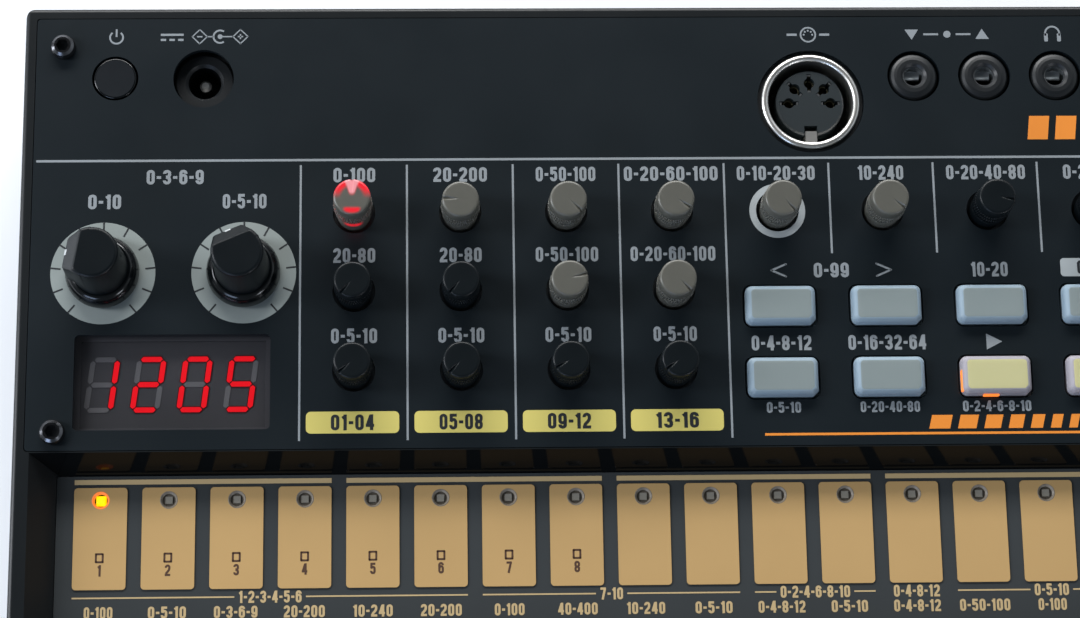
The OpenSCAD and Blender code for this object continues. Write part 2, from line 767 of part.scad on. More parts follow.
module touch_bezel() color(MOULDED) intersection() {
    upper_shell();
    translate([0, seam_y - case_d, 0]) cube([2 * case_w, 2 * case_d, 4 * case_h], center = true);
}

module upper_shell() {
    front_wall_y = -y_rear + wall_t;
    difference() {
        union() {
            difference() {
                moulded_block(case_w, case_d, z_split, z_plate, corner_r, 0, top_edge_r);
                // space under the deck
                slab_at(0, (cavity_y + y_rear - wall_t) / 2, inner_w, y_rear - wall_t - cavity_y,
                        z_split - over, z_deck_under, inner_r);
                // space under the well
                slab_at(0, (cavity_y + over + front_wall_y) / 2, inner_w, cavity_y + over - front_wall_y,
                        z_split - over, z_well_under, inner_r);
                // step for the lower shell's lip
                slab(case_w - wall_t, case_d - wall_t, z_split - over, z_split + lip_h + lip_gap, over);
            }
            // bosses of the case screws and of the rear panel screws
            at_corners(case_screw_x, [case_screw_ys[0]]) post(z_split, z_deck_under + eps, boss_r);
            at_corners(case_screw_x, [case_screw_ys[1]]) post(z_split, z_well_under + eps, boss_r);
            at_corners(screw_x, [screw_ys[0]])
                post(z_deck - screw_len - 2 * pass_gap, z_deck_under + eps, boss_r - screw_shank_r / 2);
        }
        // seat of the panel plate
        slab_at(0, plate_cy, plate_w + 2 * plate_gap, plate_d + 2 * plate_gap, z_deck, z_plate + over, plate_r);
        panel_openings(z_deck_under - over, z_plate, deck_relief);
        // seat of the display window, and the opening for the module under it
        slab_at(disp_x, disp_y, disp_w + 2 * (disp_margin + fit_gap), disp_d + 2 * (disp_margin + fit_gap),
                z_deck - window_t - fit_gap, z_plate, inner_r);
        slab_at(disp_x, disp_y, disp_w + 2 * pass_gap, disp_d + 2 * pass_gap, z_deck_under - over, z_plate,
                inner_r);
        sloped_well();
        // seat of the touch panel and the window for its board
        slab_at(0, touch_cy, touch_w, touch_d, z_touch_under, z_well + eps, touch_r);
        slab_at(0, touch_cy, touch_w - 2 * well_ledge, touch_d - 2 * well_ledge, z_well_under - over, z_well,
                touch_r);
        // pilot holes
        at_corners(screw_x, screw_ys)
            post(z_deck - screw_len - pass_gap, z_plate, screw_shank_r + fit_gap / 2);
        at_corners(case_screw_x, case_screw_ys)
            post(z_split - over, z_base + case_head_pocket + case_screw_len + pass_gap, case_shank_r + fit_gap / 2);
    }
}

module sloped_well() hull() {
    translate([-well_w / 2 - well_out_x, well_y0 - well_out_y, z_plate + well_over])
        cube([well_w + 2 * well_out_x, well_y1 - well_y0 + 2 * well_out_y, eps]);
    translate([-touch_w / 2, touch_y0, z_well]) cube([touch_w, touch_d, eps]);
}

module panel_plate() {
    color([0.125, 0.15, 0.17]) difference() {
        slab_at(0, plate_cy, plate_w, plate_d, z_deck, z_plate, plate_r);
        panel_openings(z_deck - over, z_plate + over, 0);
        slab_at(disp_x, disp_y, disp_w, disp_d, z_deck - over, z_plate + over, 0.8);
        at_corners(screw_x, screw_ys) post(z_deck - over, z_plate + over, screw_shank_r + 2 * fit_gap);
    }
}

// Four socket screws stand on the plate
module panel_screws() {
    h = screw_head_h;
    r = screw_head_r;
    color([0.16, 0.16, 0.17]) at_corners(screw_x, screw_ys) difference() {
        union() {
            translate([0, 0, z_plate]) rotate_extrude()
                polygon([[0, 0], [r, 0], [r, h * 0.45], [r * 0.9, h * 0.8], [r * 0.68, h], [0, h]]);
            post(z_plate - screw_len, z_plate + eps, screw_shank_r);
        }
        translate([0, 0, z_plate + h * 0.35]) cylinder(h = h, d = screw_socket_af / cos(30), $fn = 6);
    }
}

// A pan-head screw with a cross slot, its head below the origin and its shank above it
module cross_screw(head_r, head_h, shank_r, len) difference() {
    union() {
        translate([0, 0, -head_h]) cylinder(h = head_h, r = head_r);
        translate([0, 0, -eps]) cylinder(h = len + eps, r = shank_r);
    }
    for (a = [0, 90]) rotate([0, 0, a]) translate([-head_r * 0.65, -head_r * 0.13, -head_h - over])
        cube([head_r * 1.3, head_r * 0.26, head_h * 0.6 + over]);
}

// The screws that close the case, and the smaller ones that hold the boards on their posts
module case_screws() color(STEEL) {
    at_corners(case_screw_x, case_screw_ys) translate([0, 0, z_base + case_head_pocket])
        cross_screw(case_head_r, case_head_h, case_shank_r, case_screw_len);
    at_corners(post_x, post_ys) board_screw(z_board);
    at_jack_posts() board_screw(z_jack_board);
}

module board_screw(z) translate([0, 0, z]) mirror([0, 0, 1])
    cross_screw(board_head_r, board_head_h, board_shank_r, board_screw_len);

module rubber_feet() {
    top = z_base + foot_seat;
    color(MOULDED) at_corners(foot_x, foot_ys) rotate_extrude() polygon([
        [0, 0], [foot_r - 0.9, 0], [foot_r - 0.35, 0.25], [foot_r, 0.9], [foot_r, top], [0, top]]);
}

// ---------- touch strip ----------

module touch_panel() {
    color([0.16, 0.18, 0.2]) difference() {
        slab_at(0, touch_cy, touch_w - 2 * touch_gap, touch_d - 2 * touch_gap, z_touch_under, z_well, touch_r);
        at_pads() post_at(0, led_y, z_touch_under - over, z_well + over, led_hole_r);
    }
}

module touch_pads() {
    color([0.72, 0.62, 0.42]) at_pads() difference() {
        slab_at(0, pad_y1 - pad_d / 2, pad_w, pad_d, z_well, z_well + pad_t, pad_r);
        post_at(0, led_y, z_well - over, z_well + over, led_hole_r);
    }
}

module touch_board() {
    color(BOARD) slab_at(0, touch_cy, touch_w - 2 * (well_ledge + pass_gap), touch_d - 2 * (well_ledge + pass_gap),
                         z_touch_under - board_t, z_touch_under, inner_r);
}

// Square LEDs, each with a lens that narrows upwards
module step_leds() {
    half = led_w / 2;
    color([0.9, 0.6, 0.2]) at_pads() translate([0, led_y, z_touch_under]) intersection() {
        rotate([90, 0, 0]) linear_extrude(height = led_w, center = true) led_profile(half);
        rotate([90, 0, 90]) linear_extrude(height = led_w, center = true) led_profile(half);
    }
}

module led_profile(half)
    polygon([[-half, 0], [half, 0], [half, led_h * 0.55], [half * 0.8, led_h * 0.62], [half * 0.72, led_h],
             [-half * 0.72, led_h], [-half * 0.8, led_h * 0.62], [-half, led_h * 0.55]]);

// ---------- boards and what they carry ----------

module main_board() {
    color(BOARD) difference() {
        slab_at(0, (main_y0 + main_y1) / 2, main_board_w, main_y1 - main_y0, z_board - board_t, z_board, over);
        at_corners(post_x, post_ys) post(z_board - board_t - over, z_board + over, board_shank_r + fit_gap);
    }
}

module jack_board() {
    color(BOARD) difference() {
        slab_at(0, jack_y1 - jack_board_d / 2, jack_board_w, jack_board_d, z_jack_board - board_t, z_jack_board,
                over);
        at_jack_posts() post(z_jack_board - board_t - over, z_jack_board + over, board_shank_r + fit_gap);
    }
}

// Flat cable between the main board and the touch board, with a plug at each end
module flex_cable() {
    z = z_board + flex_plug[2] / 2;
    y_main = main_y0 + flex_plug[1] + pass_gap;
    y_touch = touch_y1 - well_ledge - pass_gap - flex_plug[1] + over;
    color([0.85, 0.82, 0.72]) translate([flex_x, 0, 0]) {
        translate([-flex_plug[0] / 2, y_main - flex_plug[1], z_board]) cube(flex_plug);
        translate([-flex_plug[0] / 2, y_touch - flex_plug[1], z_touch_under - board_t - flex_plug[2]])
            cube(flex_plug);
        translate([-flex_w / 2, y_touch - eps, z - flex_t / 2])
            cube([flex_w, y_main - flex_plug[1] - y_touch + 2 * eps, flex_t]);
    }
}

module knob_pots() {
    color(STEEL) at_small_knobs() difference() {
        translate([-pot_w / 2, -pot_w / 2, z_board]) cube([pot_w, pot_w, pot_h]);
        post(z_board + pot_floor, z_deck, shaft_r + shaft_gap);
    }
}

module stutter_pots() {
    color(STEEL) at_big_knobs() difference() {
        union() {
            translate([-big_pot_w / 2, -big_pot_w / 2, z_board]) cube([big_pot_w, big_pot_w, pot_h]);
            post(z_board, z_plate - 2 * fit_gap, bushing_r);
        }
        post(z_board + pot_floor, z_plate + over, big_shaft_r + shaft_gap);
    }
}

module button_switches() {
    color([0.2, 0.2, 0.22]) at_buttons() {
        translate([-tact_w / 2, -tact_w / 2, z_board]) cube([tact_w, tact_w, tact_h]);
        post(z_board + tact_h - eps, z_board + tact_h + tact_plunger_h, tact_plunger_r);
    }
}

module indicator_leds() {
    color([1, 0.5, 0.2]) {
        at_small_knobs() translate([-led_block[0] / 2, pot_w / 2 + 2 * fit_gap, z_board]) cube(led_block);
        at_buttons() translate([-led_block[0] / 2, -tact_w / 2 - led_block[1] - 2 * fit_gap, z_board])
            cube(led_block);
    }
}

module power_switch() {
    color([0.2, 0.2, 0.22]) translate([power_x, power_y, 0]) {
        translate([-power_switch_w / 2, -power_switch_w / 2, z_jack_board])
            cube([power_switch_w, power_switch_w, power_switch_h]);
        post(z_jack_board + power_switch_h - eps, power_foot_z - power_travel - fit_gap, tact_plunger_r);
    }
}

// ---------- sockets ----------

module dc_jack() {
    top = z_plate - dc_sunk;
    pin_top = top - dc_pin_sunk;
    color(MOULDED) translate([dc_x, jack_y, 0]) {
        difference() {
            union() {
                translate([-dc_body[0] / 2, -dc_body[1] / 2, z_jack_board])
                    cube([dc_body[0], dc_body[1], housing_top - z_jack_board]);
                post(housing_top - over, top, dc_nose_r);
            }
            post(top - dc_bore_d, top + over, dc_bore_r);
            translate([0, 0, top - 0.5]) cylinder(h = 0.5 + eps, r1 = dc_bore_r, r2 = dc_bore_r + 0.5);
        }
        // centre pin with a tapered tip
        post(top - dc_bore_d - eps, pin_top, dc_pin_r);
        translate([0, 0, pin_top]) cylinder(h = 0.4, r1 = dc_pin_r, r2 = dc_pin_r * 0.6);
    }
}

module midi_body() {
    color(MOULDED) translate([din_x, din_y, 0]) difference() {
        translate([-din_body[0] / 2, -din_body[1] / 2, z_jack_board])
            cube([din_body[0], din_body[1], housing_top - z_jack_board]);
        post(z_jack_board + din_floor, z_plate, din_r + eps);
    }
}

module midi_shell() {
    z0 = z_jack_board + din_floor;
    top = z_plate + din_proud;
    bore = din_r - din_wall;
    color([0.8, 0.8, 0.78]) translate([din_x, din_y, 0]) {
        difference() {
            post(z0, top, din_r);
            post(z0 - over, top + over, bore);
            translate([0, 0, top - 0.25]) cylinder(h = 0.25 + eps, r1 = bore, r2 = bore + 0.25);
        }
        // tab that keys the plug
        translate([-din_tab_w / 2, -din_r + din_wall / 2, z0]) cube([din_tab_w, din_tab_d, top - 1.4 - z0]);
    }
}

module midi_insert() {
    z0 = z_jack_board + din_floor;
    top = z_plate + din_proud - din_core_sunk;
    color([0.07, 0.08, 0.08]) translate([din_x, din_y, 0]) difference() {
        union() {
            post(z0, top - 0.3, din_core_r);
            translate([0, 0, top - 0.3]) cylinder(h = 0.3, r1 = din_core_r, r2 = din_core_r - 0.3);
        }
        at_contacts() {
            post(z0 + over, top + over, din_pin_r);
            translate([-din_slot_l / 2, -din_slot_w / 2, top - din_slot_d])
                cube([din_slot_l, din_slot_w, din_slot_d + over]);
        }
        // keyway towards the front
        translate([-din_key_w / 2, -din_r, z0 - over]) cube([din_key_w, din_r - din_core_r + 1.7, z_plate]);
    }
}

module midi_contacts() {
    z0 = z_jack_board + din_floor + over;
    top = z_plate + din_proud - din_core_sunk - 1.5;
    color([0.8, 0.7, 0.4]) translate([din_x, din_y, 0]) at_contacts() difference() {
        post(z0, top, din_pin_r - fit_gap / 2);
        post(z0 + over, top + over, din_pin_r - 2 * fit_gap);
        translate([-over, -0.12, z0 + 2]) cube([2 * over, 0.24, top]);
    }
}

// 3.5 mm jack: a square body with a round nose in the panel's hole
module jack() {
    top = z_plate + jack_proud;
    color(MOULDED) difference() {
        union() {
            translate([-jack_body[0] / 2, -jack_body[1] / 2, z_jack_board])
                cube([jack_body[0], jack_body[1], housing_top - z_jack_board]);
            post(housing_top - over, z_plate - over, jack_nose_r);
            translate([0, 0, top]) rotate_extrude() polygon([
                [0, -2.1], [jack_nose_r, -2.1], [jack_nose_r, -1.1], [jack_nose_r - 0.12, -0.68],
                [jack_nose_r - 0.42, -0.32], [jack_nose_r - 0.85, -0.1], [jack_nose_r - 1.3, 0], [0, 0]]);
        }
        post(top - jack_bore_d, top + over, jack_bore_r);
        translate([0, 0, top - jack_lead])
            cylinder(h = jack_lead + eps, r1 = jack_bore_r, r2 = jack_bore_r + jack_lead + 0.1);
    }
}

module sync_jacks() for (i = [0, 1]) translate([jack_x + i * jack_pitch, jack_y, 0]) jack();

module headphone_jack() translate([jack_x + 2 * jack_pitch, jack_y, 0]) jack();

// ---------- display ----------

module display_window() {
    color([0.2, 0.05, 0.06]) slab_at(disp_x, disp_y, disp_w + 2 * disp_margin, disp_d + 2 * disp_margin,
                                     z_deck - window_t - fit_gap, z_deck - fit_gap, inner_r);
}

module display_module() {
    color([0.12, 0.12, 0.13]) slab_at(disp_x, disp_y, disp_w - 1.6, disp_d - 1.2, z_board,
                                      z_deck - window_t - 4 * fit_gap, inner_r);
}

// ---------- speaker and batteries ----------

module speaker_frame() {
    h = speaker_h;
    r = speaker_r;
    color(STEEL) translate([speaker_x, speaker_y, z_floor]) rotate_extrude() polygon([
        [r - speaker_lip, 0], [r, 0], [r, 1], [r - 1.5, 1.2], [r * 0.62, h - 4.2], [r * 0.55, h - 4.2],
        [r * 0.55, h], [0, h], [0, h - 3.8], [r * 0.5, h - 4.9], [r * 0.6, h - 4.9], [r - speaker_lip, 1]]);
}

module speaker_cone() {
    h = speaker_h;
    r = speaker_r;
    edge = r - speaker_lip - eps;
    color([0.15, 0.15, 0.15]) translate([speaker_x, speaker_y, z_floor]) rotate_extrude() polygon([
        [edge, 0.35], [r - 4, 0.15], [r - 5.2, 0.6], [r * 0.32, h - 6], [r * 0.2, h - 6.6], [0, h - 6.9],
        [0, h - 6.5], [r * 0.2, h - 6.2], [r * 0.32, h - 5.6], [r - 5.2, 0.95], [r - 4, 0.5], [edge, 0.7]]);
}

// Place of a cell's axis from the middle of the battery well
function cell_x(i) = (i - (cell_n - 1) / 2) * (2 * cell_r + cell_gap);

// Each cell lies along the depth, every second one turned round
module battery_cells() {
    half = cell_len / 2;
    for (i = [0 : cell_n - 1])
        translate([cells_x + cell_x(i), cells_y, z_cell]) rotate([i % 2 == 0 ? 90 : -90, 0, 0])
            color([0.25, 0.26, 0.28]) rotate_extrude() polygon([
                [0, -half], [cell_r - 0.6, -half], [cell_r, -half + 0.6], [cell_r, half - 1.8],
                [cell_r - 0.6, half - 1.2], [cell_nub_r, half - 1.2], [cell_nub_r, half], [0, half]]);
}

// Plates at the ends of the cells, with a coil spring drawn as a cone at each negative end
module battery_contacts() {
    color(SPRING) for (i = [0 : cell_n - 1], s = [-1, 1]) {
        negative = (i % 2 == 0 ? 1 : -1) == s;
        translate([cells_x + cell_x(i), cells_y + s * (cells_d / 2 - contact_t / 2 - eps), z_cell]) {
            cube([2 * cell_r - 3, contact_t, 2 * cell_r - 4], center = true);
            if (negative) rotate([s * 90, 0, 0])
                cylinder(h = spring_room - contact_t / 2 - fit_gap / 2, r1 = cell_r / 2, r2 = cell_r / 3);
        }
    }
}

// Door on two pivot pins, with a tongue that its slits set free and grip lines across it
module battery_door() {
    color(SHELL) translate([cells_x, cells_y, 0]) {
        difference() {
            union() {
                translate([-door_w / 2, -door_d / 2, z_base]) cube([door_w, door_d - door_pivot_r, door_t]);
                translate([0, door_axis_y, door_axis_z]) rotate([0, 90, 0])
                    cylinder(h = door_w, r = door_pivot_r, center = true);
            }
            for (s = [-1, 1]) translate([s * latch_w / 2 - 0.3, -door_d / 2 - over, z_base - over])
                cube([0.6, 7, door_t + 2 * over]);
            for (i = [0 : 2]) translate([-latch_w / 2 + 1.5, -door_d / 2 + 2 + i * 1.5, z_base - eps])
                cube([latch_w - 3, 0.6, 0.3]);
        }
        translate([0, door_axis_y, door_axis_z]) rotate([0, 90, 0])
            cylinder(h = door_w + 2 * (door_gap + door_pin_len - 2 * fit_gap), r = door_pin_r, center = true);
    }
}

// ---------- knobs and buttons ----------

// A small knob with its shaft: knurled foot, bevelled top and a wedge-shaped pointer notch
module small_knob(i, tint) {
    k = KNOBS[i];
    lift = i == 0 ? first_lift : 0;
    top = z_plate + knob_h + lift;
    neck_z = z_board + pot_h + pot_gap / 2 + lift;
    translate([col_x + k[0] * col_pitch, row_y - k[1] * row_pitch, 0]) rotate([0, 0, -k[2]])
        color(tint) difference() {
            union() {
                rotate_extrude() polygon([
                    [0, shaft_foot_z], [shaft_r, shaft_foot_z], [shaft_r, neck_z], [knob_r - 0.3, neck_z],
                    [knob_r, z_deck], [knob_r, top - knob_bevel], [knob_r - knob_bevel, top], [0, top]]);
                translate([0, 0, z_plate + knurl_z + lift]) linear_extrude(height = knurl_h) knurl_outline();
            }
            translate([0, 0, top - notch_d]) linear_extrude(height = notch_d + over)
                polygon([[0, 0.4], [notch_w / 2, knob_r + pass_gap], [-notch_w / 2, knob_r + pass_gap]]);
        }
}

// Ring of pointed teeth standing out of a small knob
module knurl_outline()
    polygon([for (i = [0 : 2 * knurl_n - 1])
        let (r = knob_r + (i % 2 == 0 ? knurl_d : -0.05), a = i * 180 / knurl_n) [r * cos(a), r * sin(a)]]);

// A large knob pushed on its shaft: domed skirt, tapered round grip, and a pointer nose under a slanted facet
module big_knob(i) {
    z0 = z_plate + skirt_gap;
    top = z_plate + big_h;
    bore_top = z_plate + big_bore_z;
    skirt_rim = 0.9;
    crown_r = 0.6;
    // the skirt's dome is a quarter of an ellipse from its rim up to the grip
    dome = [for (a = [0 : 15 : 90])
        [grip_r + (skirt_r - grip_r) * cos(a), z0 + skirt_rim + (skirt_h - skirt_rim) * sin(a)]];
    crown = [for (a = [0 : 22.5 : 90])
        [grip_top_r - crown_r + crown_r * cos(a), top - crown_r + crown_r * sin(a)]];
    translate([big_x + i * big_pitch, big_y, 0]) rotate([0, 0, -BIG_ANGLES[i]]) color(BLACK) {
        difference() {
            union() {
                rotate_extrude() polygon(concat([[0, z0], [skirt_r - 0.3, z0], [skirt_r, z0 + 0.3]],
                                                dome, crown, [[0, top]]));
                pointer_nose(z0 + skirt_rim + 0.3, top);
            }
            post(z0 - over, bore_top, big_shaft_r + eps);
            pointer_facet(top);
        }
        post(shaft_foot_z, bore_top - pass_gap, big_shaft_r);
    }
}

// Nose of a large knob: its sides run tangent to the grip, and its end leans back towards the facet
module pointer_nose(z0, top) {
    side = grip_top_r * cos(15);
    start = grip_top_r * sin(15);
    intersection() {
        rotate([90, 0, 90]) linear_extrude(height = 2 * grip_r, center = true) polygon([
            [0, z0], [nose_foot, z0], [nose_foot, z0 + 0.8], [nose_mid, top - facet_h], [facet_in, top], [0, top]]);
        translate([0, 0, z0]) linear_extrude(height = top - z0) polygon([
            [-side, start], [side, start], [nose_w / 2, nose_foot], [-nose_w / 2, nose_foot]]);
    }
}

// What the slanted facet takes off the grip above the nose
module pointer_facet(top) {
    lean = (nose_mid - facet_in) / facet_h;
    rotate([90, 0, 90]) linear_extrude(height = 2 * skirt_r, center = true) polygon([
        [nose_mid, top - facet_h], [skirt_r, top - facet_h], [skirt_r, top + over],
        [facet_in - lean * over, top + over]]);
}

// A rubber button: rounded block with one bevelled corner, a flange under the deck and a stem
module button(i, j, tint) {
    flange_w = 2 * (btn_gap + btn_flange);
    stem_z = z_board + tact_h + tact_plunger_h + btn_travel + fit_gap;
    translate([btn_x + i * btn_pitch, btn_y - j * btn_row_pitch, 0]) color(tint) {
        difference() {
            moulded_block(btn_w, btn_d, btn_foot_z, z_plate + btn_h, btn_r, 0, btn_edge_r);
            translate([btn_w / 2, -btn_d / 2, z_deck]) rotate([0, 0, 45])
                cube([btn_cut * sqrt(2), btn_cut * sqrt(2), 2 * case_h], center = true);
        }
        slab(btn_w + flange_w, btn_d + flange_w, btn_foot_z, btn_foot_z + btn_flange_t, btn_r);
        post(stem_z, btn_foot_z + eps, stem_r);
    }
}

module power_button() {
    flange_r = power_r + power_gap + power_flange;
    top = z_plate + 0.05;
    color(BLACK) translate([power_x, power_y, 0]) rotate_extrude() polygon([
        [0, power_foot_z], [flange_r, power_foot_z], [flange_r, power_foot_z + power_flange_t],
        [power_r, power_foot_z + power_flange_t], [power_r, top - 0.3], [power_r - 0.3, top], [0, top]]);
}

bottom_case();
top_case();
touch_bezel();
panel_plate();
panel_screws();
case_screws();
rubber_feet();
touch_panel();
touch_pads();
touch_board();
step_leds();
main_board();
jack_board();
flex_cable();
knob_pots();
stutter_pots();
button_switches();
indicator_leds();
power_switch();
dc_jack();
midi_body();
midi_shell();
midi_insert();
midi_contacts();
sync_jacks();
headphone_jack();
display_window();
display_module();
speaker_frame();
speaker_cone();
battery_cells();
battery_contacts();
battery_door();
small_knob(0, SMOKE);  // kick_click_knob
small_knob(1, BLACK);  // kick_pitch_knob
small_knob(2, BLACK);  // kick_decay_knob
small_knob(3, SMOKE);  // snare_snap_knob
small_knob(4, BLACK);  // snare_pitch_knob
small_knob(5, BLACK);  // snare_decay_knob
small_knob(6, SMOKE);  // tom_high_knob
small_knob(7, SMOKE);  // tom_low_knob
small_knob(8, BLACK);  // tom_decay_knob
small_knob(9, SMOKE);  // hat_closed_knob
small_knob(10, SMOKE);  // hat_open_knob
small_knob(11, BLACK);  // hat_grain_knob
small_knob(12, SMOKE);  // sample_speed_knob
small_knob(13, SMOKE);  // tempo_knob
small_knob(14, BLACK);  // part_level_knob
small_knob(15, BLACK);  // volume_knob
big_knob(0);  // stutter_time_knob
big_knob(1);  // stutter_depth_knob
button(0, 0, SILICONE);  // part_back_button
button(1, 0, SILICONE);  // part_next_button
button(2, 0, SILICONE);  // mute_button
button(3, 0, SILICONE);  // func_button
button(0, 1, SILICONE);  // memory_button
button(1, 1, SILICONE);  // step_mode_button
button(2, 1, CREAM);  // play_button
button(3, 1, CREAM);  // record_button
power_button();
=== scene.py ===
"""Looks of the desktop drum machine: finishes, printed figures, knobs, buttons, lamps and the studio.

Sizes are in millimetres in the frame's own axes: X to the right, Y to the rear, Z up from the table.
"""

from __future__ import annotations

import json
import logging
import math
from dataclasses import dataclass, field
from enum import Enum
from typing import Callable, Sequence

import bmesh
import bpy
from mathutils import Matrix, Vector

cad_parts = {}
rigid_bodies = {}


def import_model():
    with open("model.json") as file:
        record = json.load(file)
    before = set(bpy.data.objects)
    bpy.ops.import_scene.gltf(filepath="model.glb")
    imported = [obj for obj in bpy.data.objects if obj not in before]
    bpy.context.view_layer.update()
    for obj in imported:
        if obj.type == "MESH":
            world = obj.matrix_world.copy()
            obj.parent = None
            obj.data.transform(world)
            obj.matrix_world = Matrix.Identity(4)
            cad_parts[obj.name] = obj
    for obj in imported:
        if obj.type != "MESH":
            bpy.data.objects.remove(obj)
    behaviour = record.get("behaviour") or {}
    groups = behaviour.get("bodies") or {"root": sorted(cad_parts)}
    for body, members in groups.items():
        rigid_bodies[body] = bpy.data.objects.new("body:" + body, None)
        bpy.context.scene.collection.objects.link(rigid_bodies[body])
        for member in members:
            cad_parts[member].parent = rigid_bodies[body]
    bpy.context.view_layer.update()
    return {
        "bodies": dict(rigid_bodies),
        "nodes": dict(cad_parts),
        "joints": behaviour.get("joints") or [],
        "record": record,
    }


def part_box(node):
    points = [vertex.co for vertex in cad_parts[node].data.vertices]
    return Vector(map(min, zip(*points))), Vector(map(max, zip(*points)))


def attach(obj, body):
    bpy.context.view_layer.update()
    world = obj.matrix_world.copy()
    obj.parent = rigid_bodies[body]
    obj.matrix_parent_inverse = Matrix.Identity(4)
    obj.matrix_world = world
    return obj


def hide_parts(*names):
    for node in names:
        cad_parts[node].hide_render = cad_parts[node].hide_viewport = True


LOG = logging.getLogger("drum_machine")
MM = 0.001
Point = tuple[float, float, float]
Flat = tuple[float, float]
# A mix node has several sockets of each name, so its colours go by number: two inputs and the output
MIX_A, MIX_B, MIX_OUT = 6, 7, 2


# ---------------------------------------------------------------- colours and nodes


def linear(hex_colour: str, alpha: float = 1.0) -> tuple[float, float, float, float]:
    """Turns an sRGB hex colour to linear light.

    Args:
        hex_colour: the colour as "#RRGGBB".
        alpha: the fourth value.

    Returns:
        Red, green, blue and alpha, each from 0 to 1.
    """
    parts = [int(hex_colour[i : i + 2], 16) / 255 for i in (1, 3, 5)]
    red, green, blue = (p / 12.92 if p <= 0.04045 else ((p + 0.055) / 1.055) ** 2.4 for p in parts)
    return red, green, blue, alpha


def add_node(
    tree: bpy.types.NodeTree,
    kind: str,
    inputs: dict[str | int, object] | None = None,
    **settings: object,
) -> bpy.types.Node:
    """Adds a node with its settings and its links.

    Args:
        tree: the node tree that it goes into.
        kind: the node's type name.
        inputs: for each input, a value to set or the output socket that feeds it.
        settings: the node's own properties.

    Returns:
        The new node.
    """
    node = tree.nodes.new(kind)
    for name, value in settings.items():
        setattr(node, name, value)
    for key, value in (inputs or {}).items():
        if isinstance(value, bpy.types.NodeSocket):
            tree.links.new(value, node.inputs[key])
        else:
            node.inputs[key].default_value = value
    return node


# ---------------------------------------------------------------- finishes


@dataclass(frozen=True)
class Finish:
    """A plain surface. What the other finishes add is in their own dress method."""

    name: str
    colour: str
    roughness: float = 0.5
    ior: float = 1.5
    metallic: float = 0.0
    specular: float = 0.5

    def sockets(self) -> dict[str, object]:
        """The values that are the same all over the surface.

        Returns:
            Each value by the name of the socket that takes it.
        """
        plain = {
            "Base Color": linear(self.colour),
            "Roughness": self.roughness,
            "Metallic": self.metallic,
            "Specular IOR Level": self.specular,
        }
        if self.metallic < 1.0:
            plain["IOR"] = self.ior
        return plain

    def dress(self, tree: bpy.types.NodeTree, shader: bpy.types.Node) -> None:
        """Adds what varies over the surface. A plain finish adds nothing."""

    def material(self) -> bpy.types.Material:
        """The material of this finish.

        Returns:
            The material, made the first time that it is asked for.
        """
        made = bpy.data.materials.get(self.name)
        if made is None:
            made = bpy.data.materials.new(self.name)
            made.use_nodes = True
            tree = made.node_tree
            tree.nodes.clear()
            shader = add_node(tree, "ShaderNodeBsdfPrincipled", self.sockets())
            add_node(tree, "ShaderNodeOutputMaterial", {"Surface": shader.outputs["BSDF"]})
            self.dress(tree, shader)
        return made


@dataclass(frozen=True)
class GrainedFinish(Finish):
    """A surface with a fine relief and a slight unevenness of tone, such as moulded or painted ones.

    The grain of an eroded tool is about 0.1 mm wide, which is too fine to show, so it is drawn two to four times as
    coarse. The waves of a sprayed coat or of a laid sheet are drawn at their real width.
    """

    grain_mm: float = 0.4
    depth_mm: float = 0.01
    mottle_mm: float = 18.0
    mottle: float = 0.12
    gloss_drift: float = 0.04

    def dress(self, tree: bpy.types.NodeTree, shader: bpy.types.Node) -> None:
        """Adds the relief and lets the tone and the gloss drift over some centimetres.

        Args:
            tree: the material's node tree.
            shader: its Principled node.
        """
        place = add_node(tree, "ShaderNodeTexCoord").outputs["Object"]
        grain = add_node(tree, "ShaderNodeTexNoise", {"Vector": place, "Scale": 1 / (self.grain_mm * MM)})
        height = {"Height": grain.outputs["Fac"], "Distance": self.depth_mm * MM, "Strength": 1.0}
        relief = add_node(tree, "ShaderNodeBump", height)
        tree.links.new(relief.outputs["Normal"], shader.inputs["Normal"])
        cloud = {"Vector": place, "Scale": 1 / (self.mottle_mm * MM), "Detail": 4.0}
        drift = add_node(tree, "ShaderNodeTexNoise", cloud)
        tone = [linear(self.colour)[i] for i in range(3)]
        dark = tuple(c * (1 - self.mottle) for c in tone) + (1.0,)
        light = tuple(c * (1 + self.mottle) for c in tone) + (1.0,)
        tones = {"Factor": drift.outputs["Fac"], MIX_A: dark, MIX_B: light}
        mixed = add_node(tree, "ShaderNodeMix", tones, data_type="RGBA")
        tree.links.new(mixed.outputs[MIX_OUT], shader.inputs["Base Color"])
        gloss_range = {
            "Value": drift.outputs["Fac"],
            "To Min": self.roughness - self.gloss_drift,
            "To Max": self.roughness + self.gloss_drift,
        }
        gloss = add_node(tree, "ShaderNodeMapRange", gloss_range)
        tree.links.new(gloss.outputs["Result"], shader.inputs["Roughness"])


@dataclass(frozen=True)
class TranslucentFinish(Finish):
    """Plastic or rubber that lets some light through, which lifts its shaded sides."""

    depth_mm: float = 2.0
    scatter: float = 0.6
    through: float = 0.0

    # Red goes a little deeper than blue
    SPREAD = (1.0, 0.95, 0.9)

    def sockets(self) -> dict[str, object]:
        """The plain values with the light that spreads under the surface."""
        return super().sockets() | {
            "Subsurface Weight": self.scatter,
            "Subsurface Radius": self.SPREAD,
            "Subsurface Scale": self.depth_mm * MM,
            "Transmission Weight": self.through,
        }


@dataclass(frozen=True)
class LampFinish(Finish):
    """A lens with a lit diode under it, or a painted glow where a lamp's light shows in a part that is no lamp."""

    glow: str = "#FFFFFF"
    strength: float = 1.0

    def sockets(self) -> dict[str, object]:
        """The plain values with the light that it gives off."""
        return super().sockets() | {
            "Emission Color": linear(self.glow),
            "Emission Strength": self.strength,
        }


